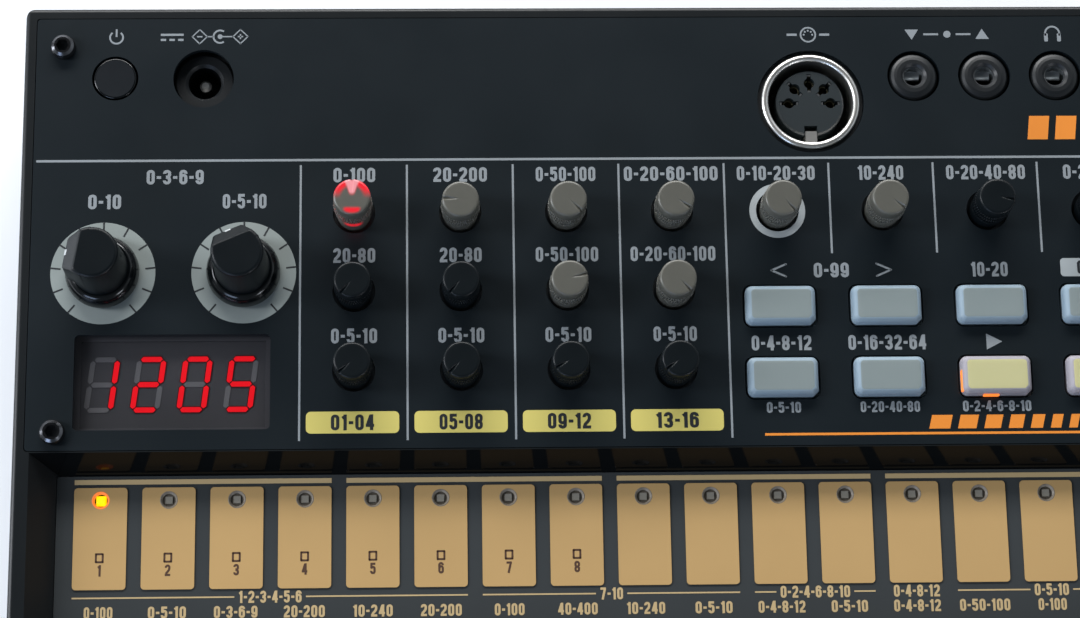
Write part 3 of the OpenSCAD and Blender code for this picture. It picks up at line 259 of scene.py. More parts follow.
@dataclass(frozen=True)
class WindowFinish(Finish):
    """Smoked sheet: what lies under it shows faintly, and its top mirrors."""

    clear: float = 0.5

    def sockets(self) -> dict[str, object]:
        """The plain values with the share that the sheet covers."""
        return super().sockets() | {"Alpha": 1 - self.clear}


@dataclass(frozen=True)
class LitCapFinish(TranslucentFinish):
    """A translucent cap over a lit diode, with a painted glow along its rear rim, its pointer, its front and its foot,
    and painted glints on its knurl.

    The pattern is drawn in the cap's own axes, whose origin is on the plate under the middle of the cap. A row of
    STEPS is a value's name, what it is worked out with, and the numbers and earlier values that go into it. Most are
    plain arithmetic. SMOOTHSTEP rises smoothly from 0 where its source has the first number to 1 at the second.
    """

    glow: str = "#FF1228"
    core: str = "#FFA6AE"
    # Dark red that the colour turns to under the painted glow
    painted_glow_tint: str = "#3A1216"
    radius_mm: float = 3.0
    strength: float = 0.85
    speck_mm: float = 0.35

    STEPS = (
        # Places across the cap in shares of its radius, and the height in millimetres
        ("across", "MULTIPLY", "x", "per_radius"),
        ("along", "MULTIPLY", "y", "per_radius"),
        ("height", "MULTIPLY", "z", "per_mm"),
        ("across_squared", "POWER", "across", 2.0),
        ("along_squared", "POWER", "along", 2.0),
        ("out_squared", "ADD", "across_squared", "along_squared"),
        ("out", "SQRT", "out_squared"),
        ("side", "ABSOLUTE", "across"),
        # The top's rear rim
        ("rim_out", "SMOOTHSTEP", "out", 0.5, 0.78),
        ("rim_rear", "SMOOTHSTEP", "along", -0.15, 0.5),
        ("rim", "MULTIPLY", "rim_out", "rim_rear"),
        # The pointer, a wedge that widens to the rear
        ("half_width", "MULTIPLY", "along", 0.34),
        ("past_edge", "SUBTRACT", "side", "half_width"),
        ("wedge_side", "SMOOTHSTEP", "past_edge", 0.16, 0.0),
        ("wedge_start", "SMOOTHSTEP", "along", 0.0, 0.3),
        ("wedge", "MULTIPLY", "wedge_side", "wedge_start"),
        # A crescent at the top's front
        ("crescent_front", "SMOOTHSTEP", "along", -0.5, -0.7),
        ("crescent_side", "SMOOTHSTEP", "side", 0.55, 0.3),
        ("crescent_out", "SMOOTHSTEP", "out", 0.98, 0.8),
        ("crescent_band", "MULTIPLY", "crescent_front", "crescent_side"),
        ("crescent", "MULTIPLY", "crescent_band", "crescent_out"),
        # All three, on the top alone, which is 9.9 mm high
        ("rim_or_wedge", "MAXIMUM", "rim", "wedge"),
        ("on_top", "MAXIMUM", "rim_or_wedge", "crescent"),
        ("upper", "SMOOTHSTEP", "height", 9.15, 9.6),
        ("top", "MULTIPLY", "on_top", "upper"),
        ("white", "MULTIPLY", "wedge", "upper"),
        # A painted glow at the front of the foot, where the diode's light comes out over the panel
        ("foot_low", "SMOOTHSTEP", "height", 2.0, 2.9),
        ("foot_front", "SMOOTHSTEP", "along", -0.5, -0.9),
        ("foot_high", "SMOOTHSTEP", "height", 4.4, 3.6),
        ("foot_side", "SMOOTHSTEP", "side", 0.6, 0.25),
        ("foot_over", "MULTIPLY", "foot_low", "foot_front"),
        ("foot_band", "MULTIPLY", "foot_high", "foot_over"),
        ("foot", "MULTIPLY", "foot_band", "foot_side"),
        ("foot_light", "MULTIPLY", "foot", 0.7),
        # Painted glints on the knurl, broken up, most of them on its left
        ("knurl_low", "SMOOTHSTEP", "height", 3.6, 4.4),
        ("knurl_high", "SMOOTHSTEP", "height", 7.4, 6.6),
        ("knurl_band", "MULTIPLY", "knurl_low", "knurl_high"),
        ("broken", "SMOOTHSTEP", "speckle", 0.5, 0.68),
        ("knurl", "MULTIPLY", "knurl_band", "broken"),
        ("left", "SMOOTHSTEP", "across", -0.3, -0.6),
        ("left_light", "MULTIPLY", "left", 0.22),
        ("knurl_light", "ADD", "left_light", 0.03),
        ("sparks", "MULTIPLY", "knurl", "knurl_light"),
        # Everything together
        ("smooth", "MAXIMUM", "top", "foot_light"),
        ("total", "ADD", "smooth", "sparks"),
        ("emission", "MULTIPLY", "total", "strength"),
    )

    def dress(self, tree: bpy.types.NodeTree, shader: bpy.types.Node) -> None:
        """Adds the painted glow and glints as a sum of soft zones, and darkens the colour to red under them.

        Args:
            tree: the material's node tree.
            shader: its Principled node.
        """
        place = add_node(tree, "ShaderNodeTexCoord").outputs["Object"]
        axes = add_node(tree, "ShaderNodeSeparateXYZ", {"Vector": place}).outputs
        speckle = add_node(tree, "ShaderNodeTexNoise", {"Vector": place, "Scale": 1 / (self.speck_mm * MM)})
        values: dict[str | float, object] = {
            "x": axes["X"],
            "y": axes["Y"],
            "z": axes["Z"],
            "speckle": speckle.outputs["Fac"],
            "per_radius": 1 / (self.radius_mm * MM),
            "per_mm": 1 / MM,
            "strength": self.strength,
        }
        for name, work, *terms in self.STEPS:
            if work == "SMOOTHSTEP":
                source, start, end = terms
                reach = {"Value": values[source], "From Min": min(start, end), "From Max": max(start, end)}
                ends = {"To Min": float(end < start), "To Max": float(start < end)}
                node = add_node(tree, "ShaderNodeMapRange", reach | ends, interpolation_type=work)
            else:
                inputs = {i: values.get(term, term) for i, term in enumerate(terms)}
                node = add_node(tree, "ShaderNodeMath", inputs, operation=work)
            values[name] = node.outputs[0]
        # The colour turns dark red where the painted glow lies
        body = {"Factor": values["total"], MIX_A: linear(self.colour), MIX_B: linear(self.painted_glow_tint)}
        stained = add_node(tree, "ShaderNodeMix", body, data_type="RGBA")
        light = {"Factor": values["white"], MIX_A: linear(self.glow), MIX_B: linear(self.core)}
        tint = add_node(tree, "ShaderNodeMix", light, data_type="RGBA")
        tree.links.new(stained.outputs[MIX_OUT], shader.inputs["Base Color"])
        tree.links.new(tint.outputs[MIX_OUT], shader.inputs["Emission Color"])
        tree.links.new(values["emission"], shader.inputs["Emission Strength"])


# ABS moulded in a spark-eroded tool: near black, with a fine even grain that softens every highlight
MOULDED_ABS = GrainedFinish("moulded black ABS", "#111517", 0.38, 1.53, grain_mm=0.35, depth_mm=0.008, specular=0.3)
# The same ABS from a polished tool, in the well: it mirrors the sheet and what stands before the case
POLISHED_ABS = Finish("polished black ABS", "#07090A", 0.08, 1.5, specular=0.15)
# The well's two side walls, less worn by the polisher: their mirror image runs together to a soft shade
WELL_SIDE = Finish("half polished black ABS", "#0E1113", 0.42, 1.5, specular=0.3)
# Two-part paint baked on the plate: blue black, satin, a little uneven like any sprayed coat
PANEL_PAINT = GrainedFinish("satin panel paint", "#141B1F", 0.32, 1.5, grain_mm=0.5, depth_mm=0.003, mottle=0.08)
# Screen-printed inks: flat and a little chalky beside the paint
GREY_INK = Finish("grey screen ink", "#868C90", 0.6, 1.48)
PALE_INK = Finish("pale grey screen ink", "#A3A9AA", 0.55, 1.48)
DARK_INK = Finish("black screen ink", "#1D2125", 0.55, 1.48)
YELLOW_INK = Finish("yellow screen ink", "#CEC067", 0.55, 1.48)
ORANGE_INK = Finish("orange screen ink", "#E2862A", 0.55, 1.48)
BROWN_INK = Finish("brown screen ink", "#4A3122", 0.55, 1.48)
GOLD_INK = Finish("gold screen ink", "#BFA67A", 0.5, 1.48)
# The same kind of ink over the broad dial rings, where the squeegee leaves it a little uneven
RING_INK = GrainedFinish("blue grey screen ink", "#88908D", 0.55, 1.48, grain_mm=0.5, depth_mm=0.003, mottle_mm=9.0)
# Hardened steel with black chromate: dark, but its edges still catch light like metal
BLACK_STEEL = Finish("black chromated steel", "#5E5F62", 0.24, metallic=1.0)
# Zinc-plated and pressed steel: cool, slightly cloudy grey metal
ZINC_STEEL = GrainedFinish("zinc plated steel", "#A9ABAD", 0.38, metallic=1.0, grain_mm=1.5, depth_mm=0.004)
# Nickel on brass, turned and polished: warm silver with soft broad highlights
NICKEL = Finish("polished nickel plate", "#F2F0EA", 0.34, metallic=1.0)
# Rolled brass contacts under a thin silver flash: pale gold, bright at the bends
CONTACT_BRASS = Finish("plated contact brass", "#D8C9A0", 0.3, metallic=1.0)
# Polyester sheet with a dark slate print under it: matt from above, a mirror at a low angle
TOUCH_SHEET = GrainedFinish("slate polyester sheet", "#3D4041", 0.1, 1.55, grain_mm=2.2, depth_mm=0.002, mottle=0.1)
# Metallic ink under the same sheet, on the pads: tan gold, satin, a little warmer in places
PAD_GOLD = GrainedFinish(
    "gold pad print", "#BC9A68", 0.1, 1.55, grain_mm=2.2, depth_mm=0.002, mottle_mm=14.0, mottle=0.05
)
# The sheet's cut edge round a diode: brown grey, because light bleeds through it
LED_WELL = Finish("cut sheet edge", "#847A6C", 0.4, 1.5)
# The same edge deep in the hole, painted darker as the hole's shade, so that each hole reads as a hole
LED_PAINTED_SHADE = Finish("cut sheet edge with painted shade", "#5F574C", 0.5, 1.5)
# The same edge round the lit diode: a painted orange glow that stands in for the light that runs along the sheet
LED_WELL_PAINTED_GLOW = LampFinish("cut sheet edge with painted glow", "#5E5546", 0.5, 1.5, glow="#FF7A1E", strength=0.85)
# Epoxy over a bare diode: milky grey when dark, amber when lit
DIODE_DARK = Finish("grey diode epoxy", "#8C877C", 0.3, 1.54)
DIODE_LIT = LampFinish("lit diode epoxy", "#FFB020", 0.3, 1.54, glow="#FFB400", strength=1.6)
# Smoked polycarbonate caps: olive grey, milky, so that their shaded side stays light
SMOKED_CAP = TranslucentFinish("smoked polycarbonate", "#605F57", 0.36, 1.58, depth_mm=1.6, scatter=0.45, through=0.12)
# The same cap over a lit diode, with a painted red glow at its rims and in the pointer's notch and painted glints on
# its knurl
LIT_CAP = LitCapFinish("smoked polycarbonate with painted glow", "#605F57", 0.36, 1.58, depth_mm=1.6, scatter=0.45, through=0.12)
# Black polycarbonate caps with a fine eroded grain: their round sides shade off softly
BLACK_CAP = GrainedFinish(
    "black polycarbonate", "#0B1114", 0.36, 1.5, grain_mm=0.25, depth_mm=0.006, mottle_mm=4.0, specular=0.25
)
# The large knobs' grip, from an eroded tool: blue black and satin, so that its facet reads as one tone
GRIP_BLACK = GrainedFinish(
    "eroded black grip", "#050C10", 0.4, 1.5, grain_mm=0.22, depth_mm=0.004, mottle_mm=5.0, specular=0.25
)
# Their skirt, from a polished tool: deep black with a narrow bright line where it turns to the window
SKIRT_BLACK = Finish("polished black skirt", "#05080A", 0.17, 1.5, specular=0.4)
# Enamel wiped into the pointer's recess: flat pale grey, the brightest thing on the knob
INDEX_PAINT = Finish("pale index paint", "#B9BDBE", 0.5, 1.5)
# Silicone rubber: translucent blue grey, soft highlights, light that spreads inside; the sides' bluer tone is a painted
# reflection of the bluish light before the case
SILICONE = TranslucentFinish("blue grey silicone", "#8EA0AC", 0.5, 1.41, depth_mm=1.5, scatter=0.5)
# The same rubber on top, a little rougher: greyer and flatter than the sides, without their painted bluish reflection
SILICONE_TOP = TranslucentFinish("blue grey silicone top", "#838D8C", 0.55, 1.41, depth_mm=1.5, scatter=0.4)
# The two cream buttons: cream on top, and lilac grey at the sides, a painted reflection of the dark panel
SILICONE_CREAM_SIDE_PAINTED_REFLECTION = TranslucentFinish("cream silicone side with painted reflection", "#A09CA2", 0.5, 1.41, depth_mm=1.5, scatter=0.5)
SILICONE_CREAM = TranslucentFinish("cream silicone", "#C0BB8C", 0.55, 1.41, depth_mm=1.5, scatter=0.4)
# A painted glow for the lamp light where the cream rubber is thinnest: a soft orange sliver
ORANGE_GLOW = LampFinish("painted orange glow in silicone", "#E08A4A", 0.5, 1.41, glow="#FF7A1C", strength=0.9)
# Nylon socket bodies: black with a dull shine
SOCKET_NYLON = GrainedFinish("black socket nylon", "#101417", 0.42, 1.5, grain_mm=0.5, depth_mm=0.003, mottle_mm=5.0)
# Tin over brass on the contacts' tips and the jacks' sleeves: cool and bright beside the nylon
TINNED_BRASS = Finish("tinned contact tips", "#B9BCBE", 0.3, metallic=1.0)
# The spring leaf deep in a jack, rubbed by plugs: a dull grey glint
CONTACT_LEAF = Finish("worn contact leaf", "#8A8E90", 0.5, metallic=1.0)
# The power button's top, eroded inside its polished edge: satin, a touch lighter than the panel
POWER_TOP = GrainedFinish("satin black button", "#14181C", 0.32, 1.5, grain_mm=0.4, depth_mm=0.003, mottle_mm=6.0)
# Pressed phenolic disc in the round socket: slate grey, so that the contacts stand out on it
INSULATOR = Finish("slate phenolic insulator", "#1C2427", 0.45, 1.5)
# Smoked acrylic over the display: it greys what lies under it and mirrors the window
SMOKED_ACRYLIC = WindowFinish("smoked acrylic", "#1C1C1F", 0.06, 1.49, specular=0.9, clear=0.68)
# The display's potting resin and the print round it, both under the acrylic: two neutral greys
DISPLAY_BODY = Finish("grey display resin", "#747377", 0.5, 1.5)
DISPLAY_PRINT = Finish("grey window print", "#555458", 0.5, 1.5)
# Milky epoxy bars in that resin: pale when dark, red when lit, with a dim painted red glow in the resin round the lit
# ones
SEGMENT_DARK = Finish("unlit segment", "#B2B1B4", 0.5, 1.5)
SEGMENT_LIT = LampFinish("lit red segment", "#FF1020", 0.4, 1.5, glow="#FF0A1C", strength=1.25)
SEGMENT_HALO = LampFinish("painted red glow round a segment", "#3A1014", 0.5, 1.5, glow="#B00A14", strength=0.12)
# Solder mask over copper: an even leaf green with a wet shine
SOLDER_MASK = Finish("green solder mask", "#1F5A38", 0.35, 1.5)
# Polyimide film with copper inside: glossy amber
POLYIMIDE = Finish("polyimide film", "#C08A3C", 0.3, 1.6)
# Glass-filled nylon of the switches: charcoal with a dull shine
BLACK_NYLON = Finish("black switch nylon", "#26272A", 0.4, 1.53)
# Butyl rubber feet: matt black, rough enough to show no highlight
FOOT_RUBBER = GrainedFinish("black foot rubber", "#17181A", 0.75, 1.52, grain_mm=0.3, depth_mm=0.02)
# Pressed paper pulp of the loudspeaker's cone: matt, with a coarse felt grain
CONE_PAPER = GrainedFinish("black cone paper", "#222224", 0.85, 1.45, grain_mm=0.5, depth_mm=0.03)
# Shrunk plastic sleeve of a battery cell: dark and glossy between its bright ends
CELL_SLEEVE = Finish("dark cell sleeve", "#3C4045", 0.25, 1.5)
# Nickel on spring wire: bright, a little warm
SPRING_STEEL = Finish("nickel plated spring steel", "#CFCBC0", 0.25, metallic=1.0)
# Matt paper that the machine stands on: near white, so that it throws even light under the case
FLOOR_PAPER = Finish("pale floor", "#F4F6F8", 0.8, 1.3)


# ---------------------------------------------------------------- meshes


def bow(start: float, end: float, steps: int) -> list[Flat]:
    """Cosines and sines of evenly spaced angles from one to another, in degrees, with both ends."""
    turns = [math.radians(start + (end - start) * i / steps) for i in range(steps + 1)]
    return [(math.cos(a), math.sin(a)) for a in turns]


def circle(radius: float, steps: int = 64, at: Flat = (0.0, 0.0)) -> list[Flat]:
    """A circle as a list of points, counter-clockwise from +X."""
    return [(at[0] + radius * c, at[1] + radius * s) for c, s in bow(0, 360, steps)[:-1]]


def corners(x0: float, y0: float, x1: float, y1: float) -> list[Flat]:
    """A rectangle between two corners as a list of points, counter-clockwise."""
    return [(x0, y0), (x1, y0), (x1, y1), (x0, y1)]


def rounded_box(width: float, depth: float, radius: float, steps: int = 8, cut: float = 0.0) -> list[Flat]:
    """A rectangle with round corners, centred on the origin.

    Args:
        width: size along X.
        depth: size along Y.
        radius: corner radius.
        steps: edges in each corner.
        cut: size of a straight bevel across the front right corner, or 0 for a round one.

    Returns:
        The outline, counter-clockwise, with the same number of points whatever the sizes are.
    """
    outline: list[Flat] = []
    for quarter, (sx, sy) in enumerate(((1, 1), (-1, 1), (-1, -1), (1, -1))):
        if cut and (sx, sy) == (1, -1):
            shares = [i / steps for i in range(steps + 1)]
            outline += [(width / 2 - cut * (1 - share), -depth / 2 + cut * share) for share in shares]
        else:
            cx, cy = sx * (width / 2 - radius), sy * (depth / 2 - radius)
            turns = bow(90 * quarter, 90 * quarter + 90, steps)
            outline += [(cx + radius * c, cy + radius * s) for c, s in turns]
    return outline


@dataclass
class Draft:
    """Points and faces of one piece, in millimetres, before it becomes an object."""

    points: list[Point] = field(default_factory=list)
    faces: list[tuple[int, ...]] = field(default_factory=list)
    shades: list[int] = field(default_factory=list)

    def loft(
        self,
        rings: Sequence[Sequence[Point]],
        shades: Sequence[int] | int = 0,
        foot: bool = True,
        top: bool = True,
    ) -> None:
        """Joins rings of equally many points with faces.

        Args:
            rings: the rings from the foot up, each counter-clockwise seen from above.
            shades: which finish each band between two rings takes, or one for all.
            foot: whether the first ring is closed by a face.
            top: whether the last ring is closed by a face.
        """
        count = len(rings[0])
        first = len(self.points)
        bands = [shades] * (len(rings) - 1) if isinstance(shades, int) else list(shades)
        for ring in rings:
            self.points.extend(ring)
        for level, shade in enumerate(bands):
            low = first + level * count
            for i in range(count):
                j = (i + 1) % count
                self.faces.append((low + i, low + j, low + count + j, low + count + i))
                self.shades.append(shade)
        if foot:
            self.faces.append(tuple(first + i for i in reversed(range(count))))
            self.shades.append(bands[0])
        if top:
            last = first + (len(rings) - 1) * count
            self.faces.append(tuple(last + i for i in range(count)))
            self.shades.append(bands[-1])

    def prism(self, outline: Sequence[Flat], z0: float, z1: float, shade: int = 0) -> None:
        """A flat piece with upright sides."""
        self.loft([[(x, y, z) for x, y in outline] for z in (z0, z1)], shade)

    def lathe(
        self,
        profile: Sequence[Flat],
        steps: int = 64,
        at: Flat = (0.0, 0.0),
        shades: Sequence[int] | int = 0,
        solid: bool = True,
    ) -> None:
        """A turned piece.

        Args:
            profile: the radius and height of each point, from the foot up.
            steps: edges round the piece.
            at: the place of its axis.
            shades: which finish each band of the profile takes, or one for all.
            solid: whether both ends are closed by a face. A tube's profile runs back to its start instead.
        """
        rings = [[(x, y, z) for x, y in circle(r, steps, at)] for r, z in profile]
        self.loft(rings, shades, foot=solid, top=solid)

    def annulus(self, outer: float, inner: float, z0: float, z1: float, at: Flat = (0.0, 0.0), steps: int = 96) -> None:
        """A flat ring with upright sides."""
        self.lathe([(inner, z0), (outer, z0), (outer, z1), (inner, z1), (inner, z0)], steps, at, solid=False)

    def face(self, points: Sequence[Point], shade: int = 0) -> None:
        """One face that shares no points with the others.

        Args:
            points: its corners in order.
            shade: which finish it takes.
        """
        first = len(self.points)
        self.points.extend(points)
        self.faces.append(tuple(range(first, first + len(points))))
        self.shades.append(shade)

    def turn(self, degrees: float) -> None:
        """Turns the draft clockwise about the Z axis."""
        cos, sin = math.cos(math.radians(degrees)), math.sin(math.radians(degrees))
        self.points = [(x * cos + y * sin, y * cos - x * sin, z) for x, y, z in self.points]

    def build(
        self,
        name: str,
        finishes: Sequence[Finish],
        body: str,
        slot: str,
        replaces: Sequence[str] = (),
        at: Point = (0.0, 0.0, 0.0),
        sharp: float = 32.0,
    ) -> None:
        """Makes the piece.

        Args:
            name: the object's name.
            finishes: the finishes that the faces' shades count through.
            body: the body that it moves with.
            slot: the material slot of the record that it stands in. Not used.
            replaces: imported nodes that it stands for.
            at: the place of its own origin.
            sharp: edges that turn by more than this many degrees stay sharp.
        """
        mesh = bpy.data.meshes.new(name)
        mesh.from_pydata([tuple(c * MM for c in p) for p in self.points], [], self.faces)
        for finish in finishes:
            mesh.materials.append(finish.material())
        for face, shade in zip(mesh.polygons, self.shades):
            face.material_index = shade
        shape = bmesh.new()
        shape.from_mesh(mesh)
        bmesh.ops.remove_doubles(shape, verts=shape.verts, dist=1e-4 * MM)
        bmesh.ops.recalc_face_normals(shape, faces=shape.faces)
        limit = math.radians(sharp)
        for face in shape.faces:
            face.smooth = True
        for edge in shape.edges:
            edge.smooth = len(edge.link_faces) == 2 and edge.calc_face_angle(math.pi) < limit
        shape.to_mesh(mesh)
        shape.free()
        made = bpy.data.objects.new(name, mesh)
        made.location = Vector(at) * MM
        bpy.context.scene.collection.objects.link(made)
        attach(made, body)
        if replaces:
            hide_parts(*replaces)
        LOG.info("%s: %d faces", name, len(mesh.polygons))


class Figures:
    """Bold condensed figures drawn with strokes of even width, as on an instrument panel.

    A figure is 1 high. Each of its strokes is a centre line, and a closed one runs back to its start. The class
    holds the strokes' width, a bowl's radius and the height of its ends, the gap between figures, how much higher
    each further stroke of a figure lies, the degrees between a bow's points, and the sharpest mitre.
    """

    STROKE = 0.19
    SIDE = 0.148
    RISE = 0.405
    GAP = 0.115
    STAGGER = 0.06
    STEP = 15
    MITRE = 0.6

    def __init__(self) -> None:
        """Draws every figure once."""
        side, rise, edge = self.SIDE, self.RISE, 0.5
        bowl = rise - side
        self.strokes: dict[str, list[tuple[list[Flat], bool]]] = {
            "0": [(self.bend(0, bowl, 0, 180) + self.bend(0, -bowl, 180, 360), True)],
            "1": [([(0.06, -edge), (0.06, edge)], False), ([(-0.11, 0.27), (0.06, 0.37)], False)],
            "2": [
                (self.bend(0, bowl, 195, 0) + [(side, 0.13), (0.1, 0.0), (-0.1, -0.24), (-0.13, -rise)], False),
                ([(-side - 0.09, -rise), (side + 0.09, -rise)], False),
            ],
            "3": [
                (self.bend(0, bowl, 190, 0) + [(side, 0.15), (0.1, 0.04), (-0.06, 0.01)], False),
                (self.bend(0, -bowl, -190, 0) + [(side, -0.15), (0.1, -0.04), (-0.06, -0.01)], False),
            ],
            "4": [
                ([(0.09, -edge), (0.09, edge)], False),
                ([(0.05, 0.44), (-0.15, -0.2)], False),
                ([(-0.24, -0.2), (0.24, -0.2)], False),
            ],
            "5": [
                ([(side + 0.07, rise), (-side - 0.05, rise)], False),
                ([(-side + 0.02, rise + 0.05), (-side + 0.02, 0.0)], False),
                ([(-side, 0.0), (-0.06, 0.12)] + self.bend(0, -0.02, 80, 0) + self.bend(0, -bowl, 0, -195), False),
            ],
            "6": [
                (self.bend(0, -0.02, 0, 180) + self.bend(0, -bowl, 180, 360), True),
                ([(-side, -0.1)] + self.bend(0, bowl, 180, -10), False),
            ],
            "7": [
                ([(-side - 0.08, rise), (side + 0.08, rise)], False),
                ([(side, rise), (0.1, 0.2), (-0.06, -edge)], False),
            ],
            "8": [
                (self.bend(0, bowl, 0, 180) + self.bend(0, 0.16, 180, 360), True),
                (self.bend(0, -0.16, 0, 180) + self.bend(0, -bowl, 180, 360), True),
            ],
            "9": [
                (self.bend(0, bowl, 0, 180) + self.bend(0, 0.02, 180, 360), True),
                ([(side, 0.1)] + self.bend(0, -bowl, 0, -190), False),
            ],
            "-": [([(-0.13, -0.02), (0.13, -0.02)], False)],
        }

    def bend(self, x: float, y: float, start: float, end: float) -> list[Flat]:
        """A bow of a figure, from one angle to another in degrees."""
        steps = int(abs(end - start) / self.STEP)
        return [(x + self.SIDE * c, y + self.SIDE * s) for c, s in bow(start, end, steps)]

    def half_width(self, figure: str) -> float:
        """Half the width that a figure takes."""
        return {"1": 0.155, "-": 0.13}.get(figure, self.SIDE + self.STROKE / 2)

    def width(self, text: str) -> float:
        """The width of a line of figures."""
        return sum(2 * self.half_width(c) for c in text) + self.GAP * (len(text) - 1)

    def band(self, line: list[Flat], closed: bool) -> tuple[list[Flat], list[Flat]]:
        """Both edges of a stroke along its centre line, mitred where it bends.

        Args:
            line: the centre line.
            closed: whether it runs back to its start.

        Returns:
            The left edge and the right edge, with a point for each of the line's.
        """
        left, right = [], []
        spots = [Vector(p) for p in line]
        for i, spot in enumerate(spots):
            before = spots[i - 1] if i or closed else spot * 2 - spots[1]
            after = spots[(i + 1) % len(spots)] if closed or i + 1 < len(spots) else spot * 2 - spots[i - 1]
            come, leave = (spot - before).normalized(), (after - spot).normalized()
            along = (come + leave).normalized()
            reach = self.STROKE / 2 / max(along.dot(come), self.MITRE)
            left.append((spot.x - along.y * reach, spot.y + along.x * reach))
            right.append((spot.x + along.y * reach, spot.y - along.x * reach))
        return left, right


@dataclass
class InkSheet:
    """All print of one ink on one surface, as one thin piece that sits in the surface."""

    name: str
    surface: float
    finish: Finish
    slot: str
    figures: Figures
    proud: float = 0.03
    sunk: float = 0.01
    arc_steps: int = 28
    draft: Draft = field(default_factory=Draft)

    # How far a line of figures may be drawn in or spread to fill its place
    TIGHT, WIDE = 0.88, 1.16

    @property
    def span(self) -> Flat:
        """The heights of the print's underside and top."""
        return self.surface - self.sunk, self.surface + self.proud

    def area(self, outline: Sequence[Flat]) -> None:
        """Prints a closed outline."""
        self.draft.prism(outline, *self.span)

    def box(self, x0: float, y0: float, x1: float, y1: float, radius: float = 0.0) -> None:
        """Prints a rectangle.

        Args:
            x0: its left side.
            y0: its front side.
            x1: its right side.
            y1: its rear side.
            radius: radius of its corners.
        """
        shape = corners(x0, y0, x1, y1)
        if radius:
            x, y = (x0 + x1) / 2, (y0 + y1) / 2
            shape = [(x + u, y + v) for u, v in rounded_box(x1 - x0, y1 - y0, radius)]
        self.area(shape)

    def rule(self, start: Flat, end: Flat, width: float) -> None:
        """Prints a straight line.

        Args:
            start: one end.
            end: the other end.
            width: its width.
        """
        run = (Vector(end) - Vector(start)).normalized() * width / 2
        aside = Vector((run.y, -run.x))
        self.area([tuple(Vector(p) + aside * way) for p, way in ((start, 1), (end, 1), (end, -1), (start, -1))])

    def line(self, points: Sequence[Flat], width: float, closed: bool = False) -> None:
        """Prints a bent line as straight lines with a round dot at each bend.

        Args:
            points: its ends and bends.
            width: its width.
            closed: whether it runs back to its start.
        """
        ends = [*points, points[0]] if closed else points
        for start, end in zip(ends, ends[1:]):
            self.rule(start, end, width)
        for spot in points:
            self.area(circle(width / 2, 10, spot))

    def arc(self, centre: Flat, radius: float, start: float, end: float, width: float) -> None:
        """Prints a part of a circle.

        Args:
            centre: the circle's middle.
            radius: how far the middle of the line is from it.
            start: the angle at the line's start, in degrees counter-clockwise from +X.
            end: the angle at its end.
            width: the line's width.
        """
        low, high = self.span
        inner, outer = radius - width / 2, radius + width / 2
        section = ((inner, low), (outer, low), (outer, high), (inner, high))
        turns = bow(start, end, self.arc_steps)
        self.draft.loft([[(centre[0] + r * c, centre[1] + r * s, z) for r, z in section] for c, s in turns])

    def ring(self, centre: Flat, outer: float, inner: float) -> None:
        """Prints a closed ring."""
        self.draft.annulus(outer, inner, *self.span, at=centre)

    def number(self, text: str, centre: Flat, height: float, span: float | None = None) -> float:
        """Prints figures about a point.

        Args:
            text: the figures.
            centre: the middle of the line.
            height: the figures' height.
            span: the width that the line is spread or drawn in to, as far as its figures allow.

        Returns:
            The width of the printed line.
        """
        plain = self.figures.width(text) * height
        spread = min(max(span / plain, self.TIGHT), self.WIDE) if span else 1.0
        x = centre[0] - plain * spread / 2
        low, high = self.span
        for figure in text:
            half = self.figures.half_width(figure) * height * spread
            for level, (line, closed) in enumerate(self.figures.strokes[figure]):
                edges = self.figures.band(line, closed)
                top = high + self.figures.STAGGER * level * (high - low)
                rings = []
                for pair in zip(*edges):
                    (ax, ay), (bx, by) = (
                        (x + half + u * height * spread, centre[1] + v * height) for u, v in pair
                    )
                    rings.append([(ax, ay, low), (bx, by, low), (bx, by, top), (ax, ay, top)])
                if closed:
                    rings.append(rings[0])
                self.draft.loft(rings, foot=not closed, top=not closed)
            x += 2 * half + self.figures.GAP * height * spread
        return plain * spread

    def build(self) -> None:
        """Makes the print."""
        self.draft.build(self.name, [self.finish], "root", self.slot, sharp=20.0)


# ---------------------------------------------------------------- where things are


@dataclass(frozen=True)
class Spot:
    """A knob's or button's place on the plate."""

    node: str
    x: float
    y: float
    angle: float = 0.0


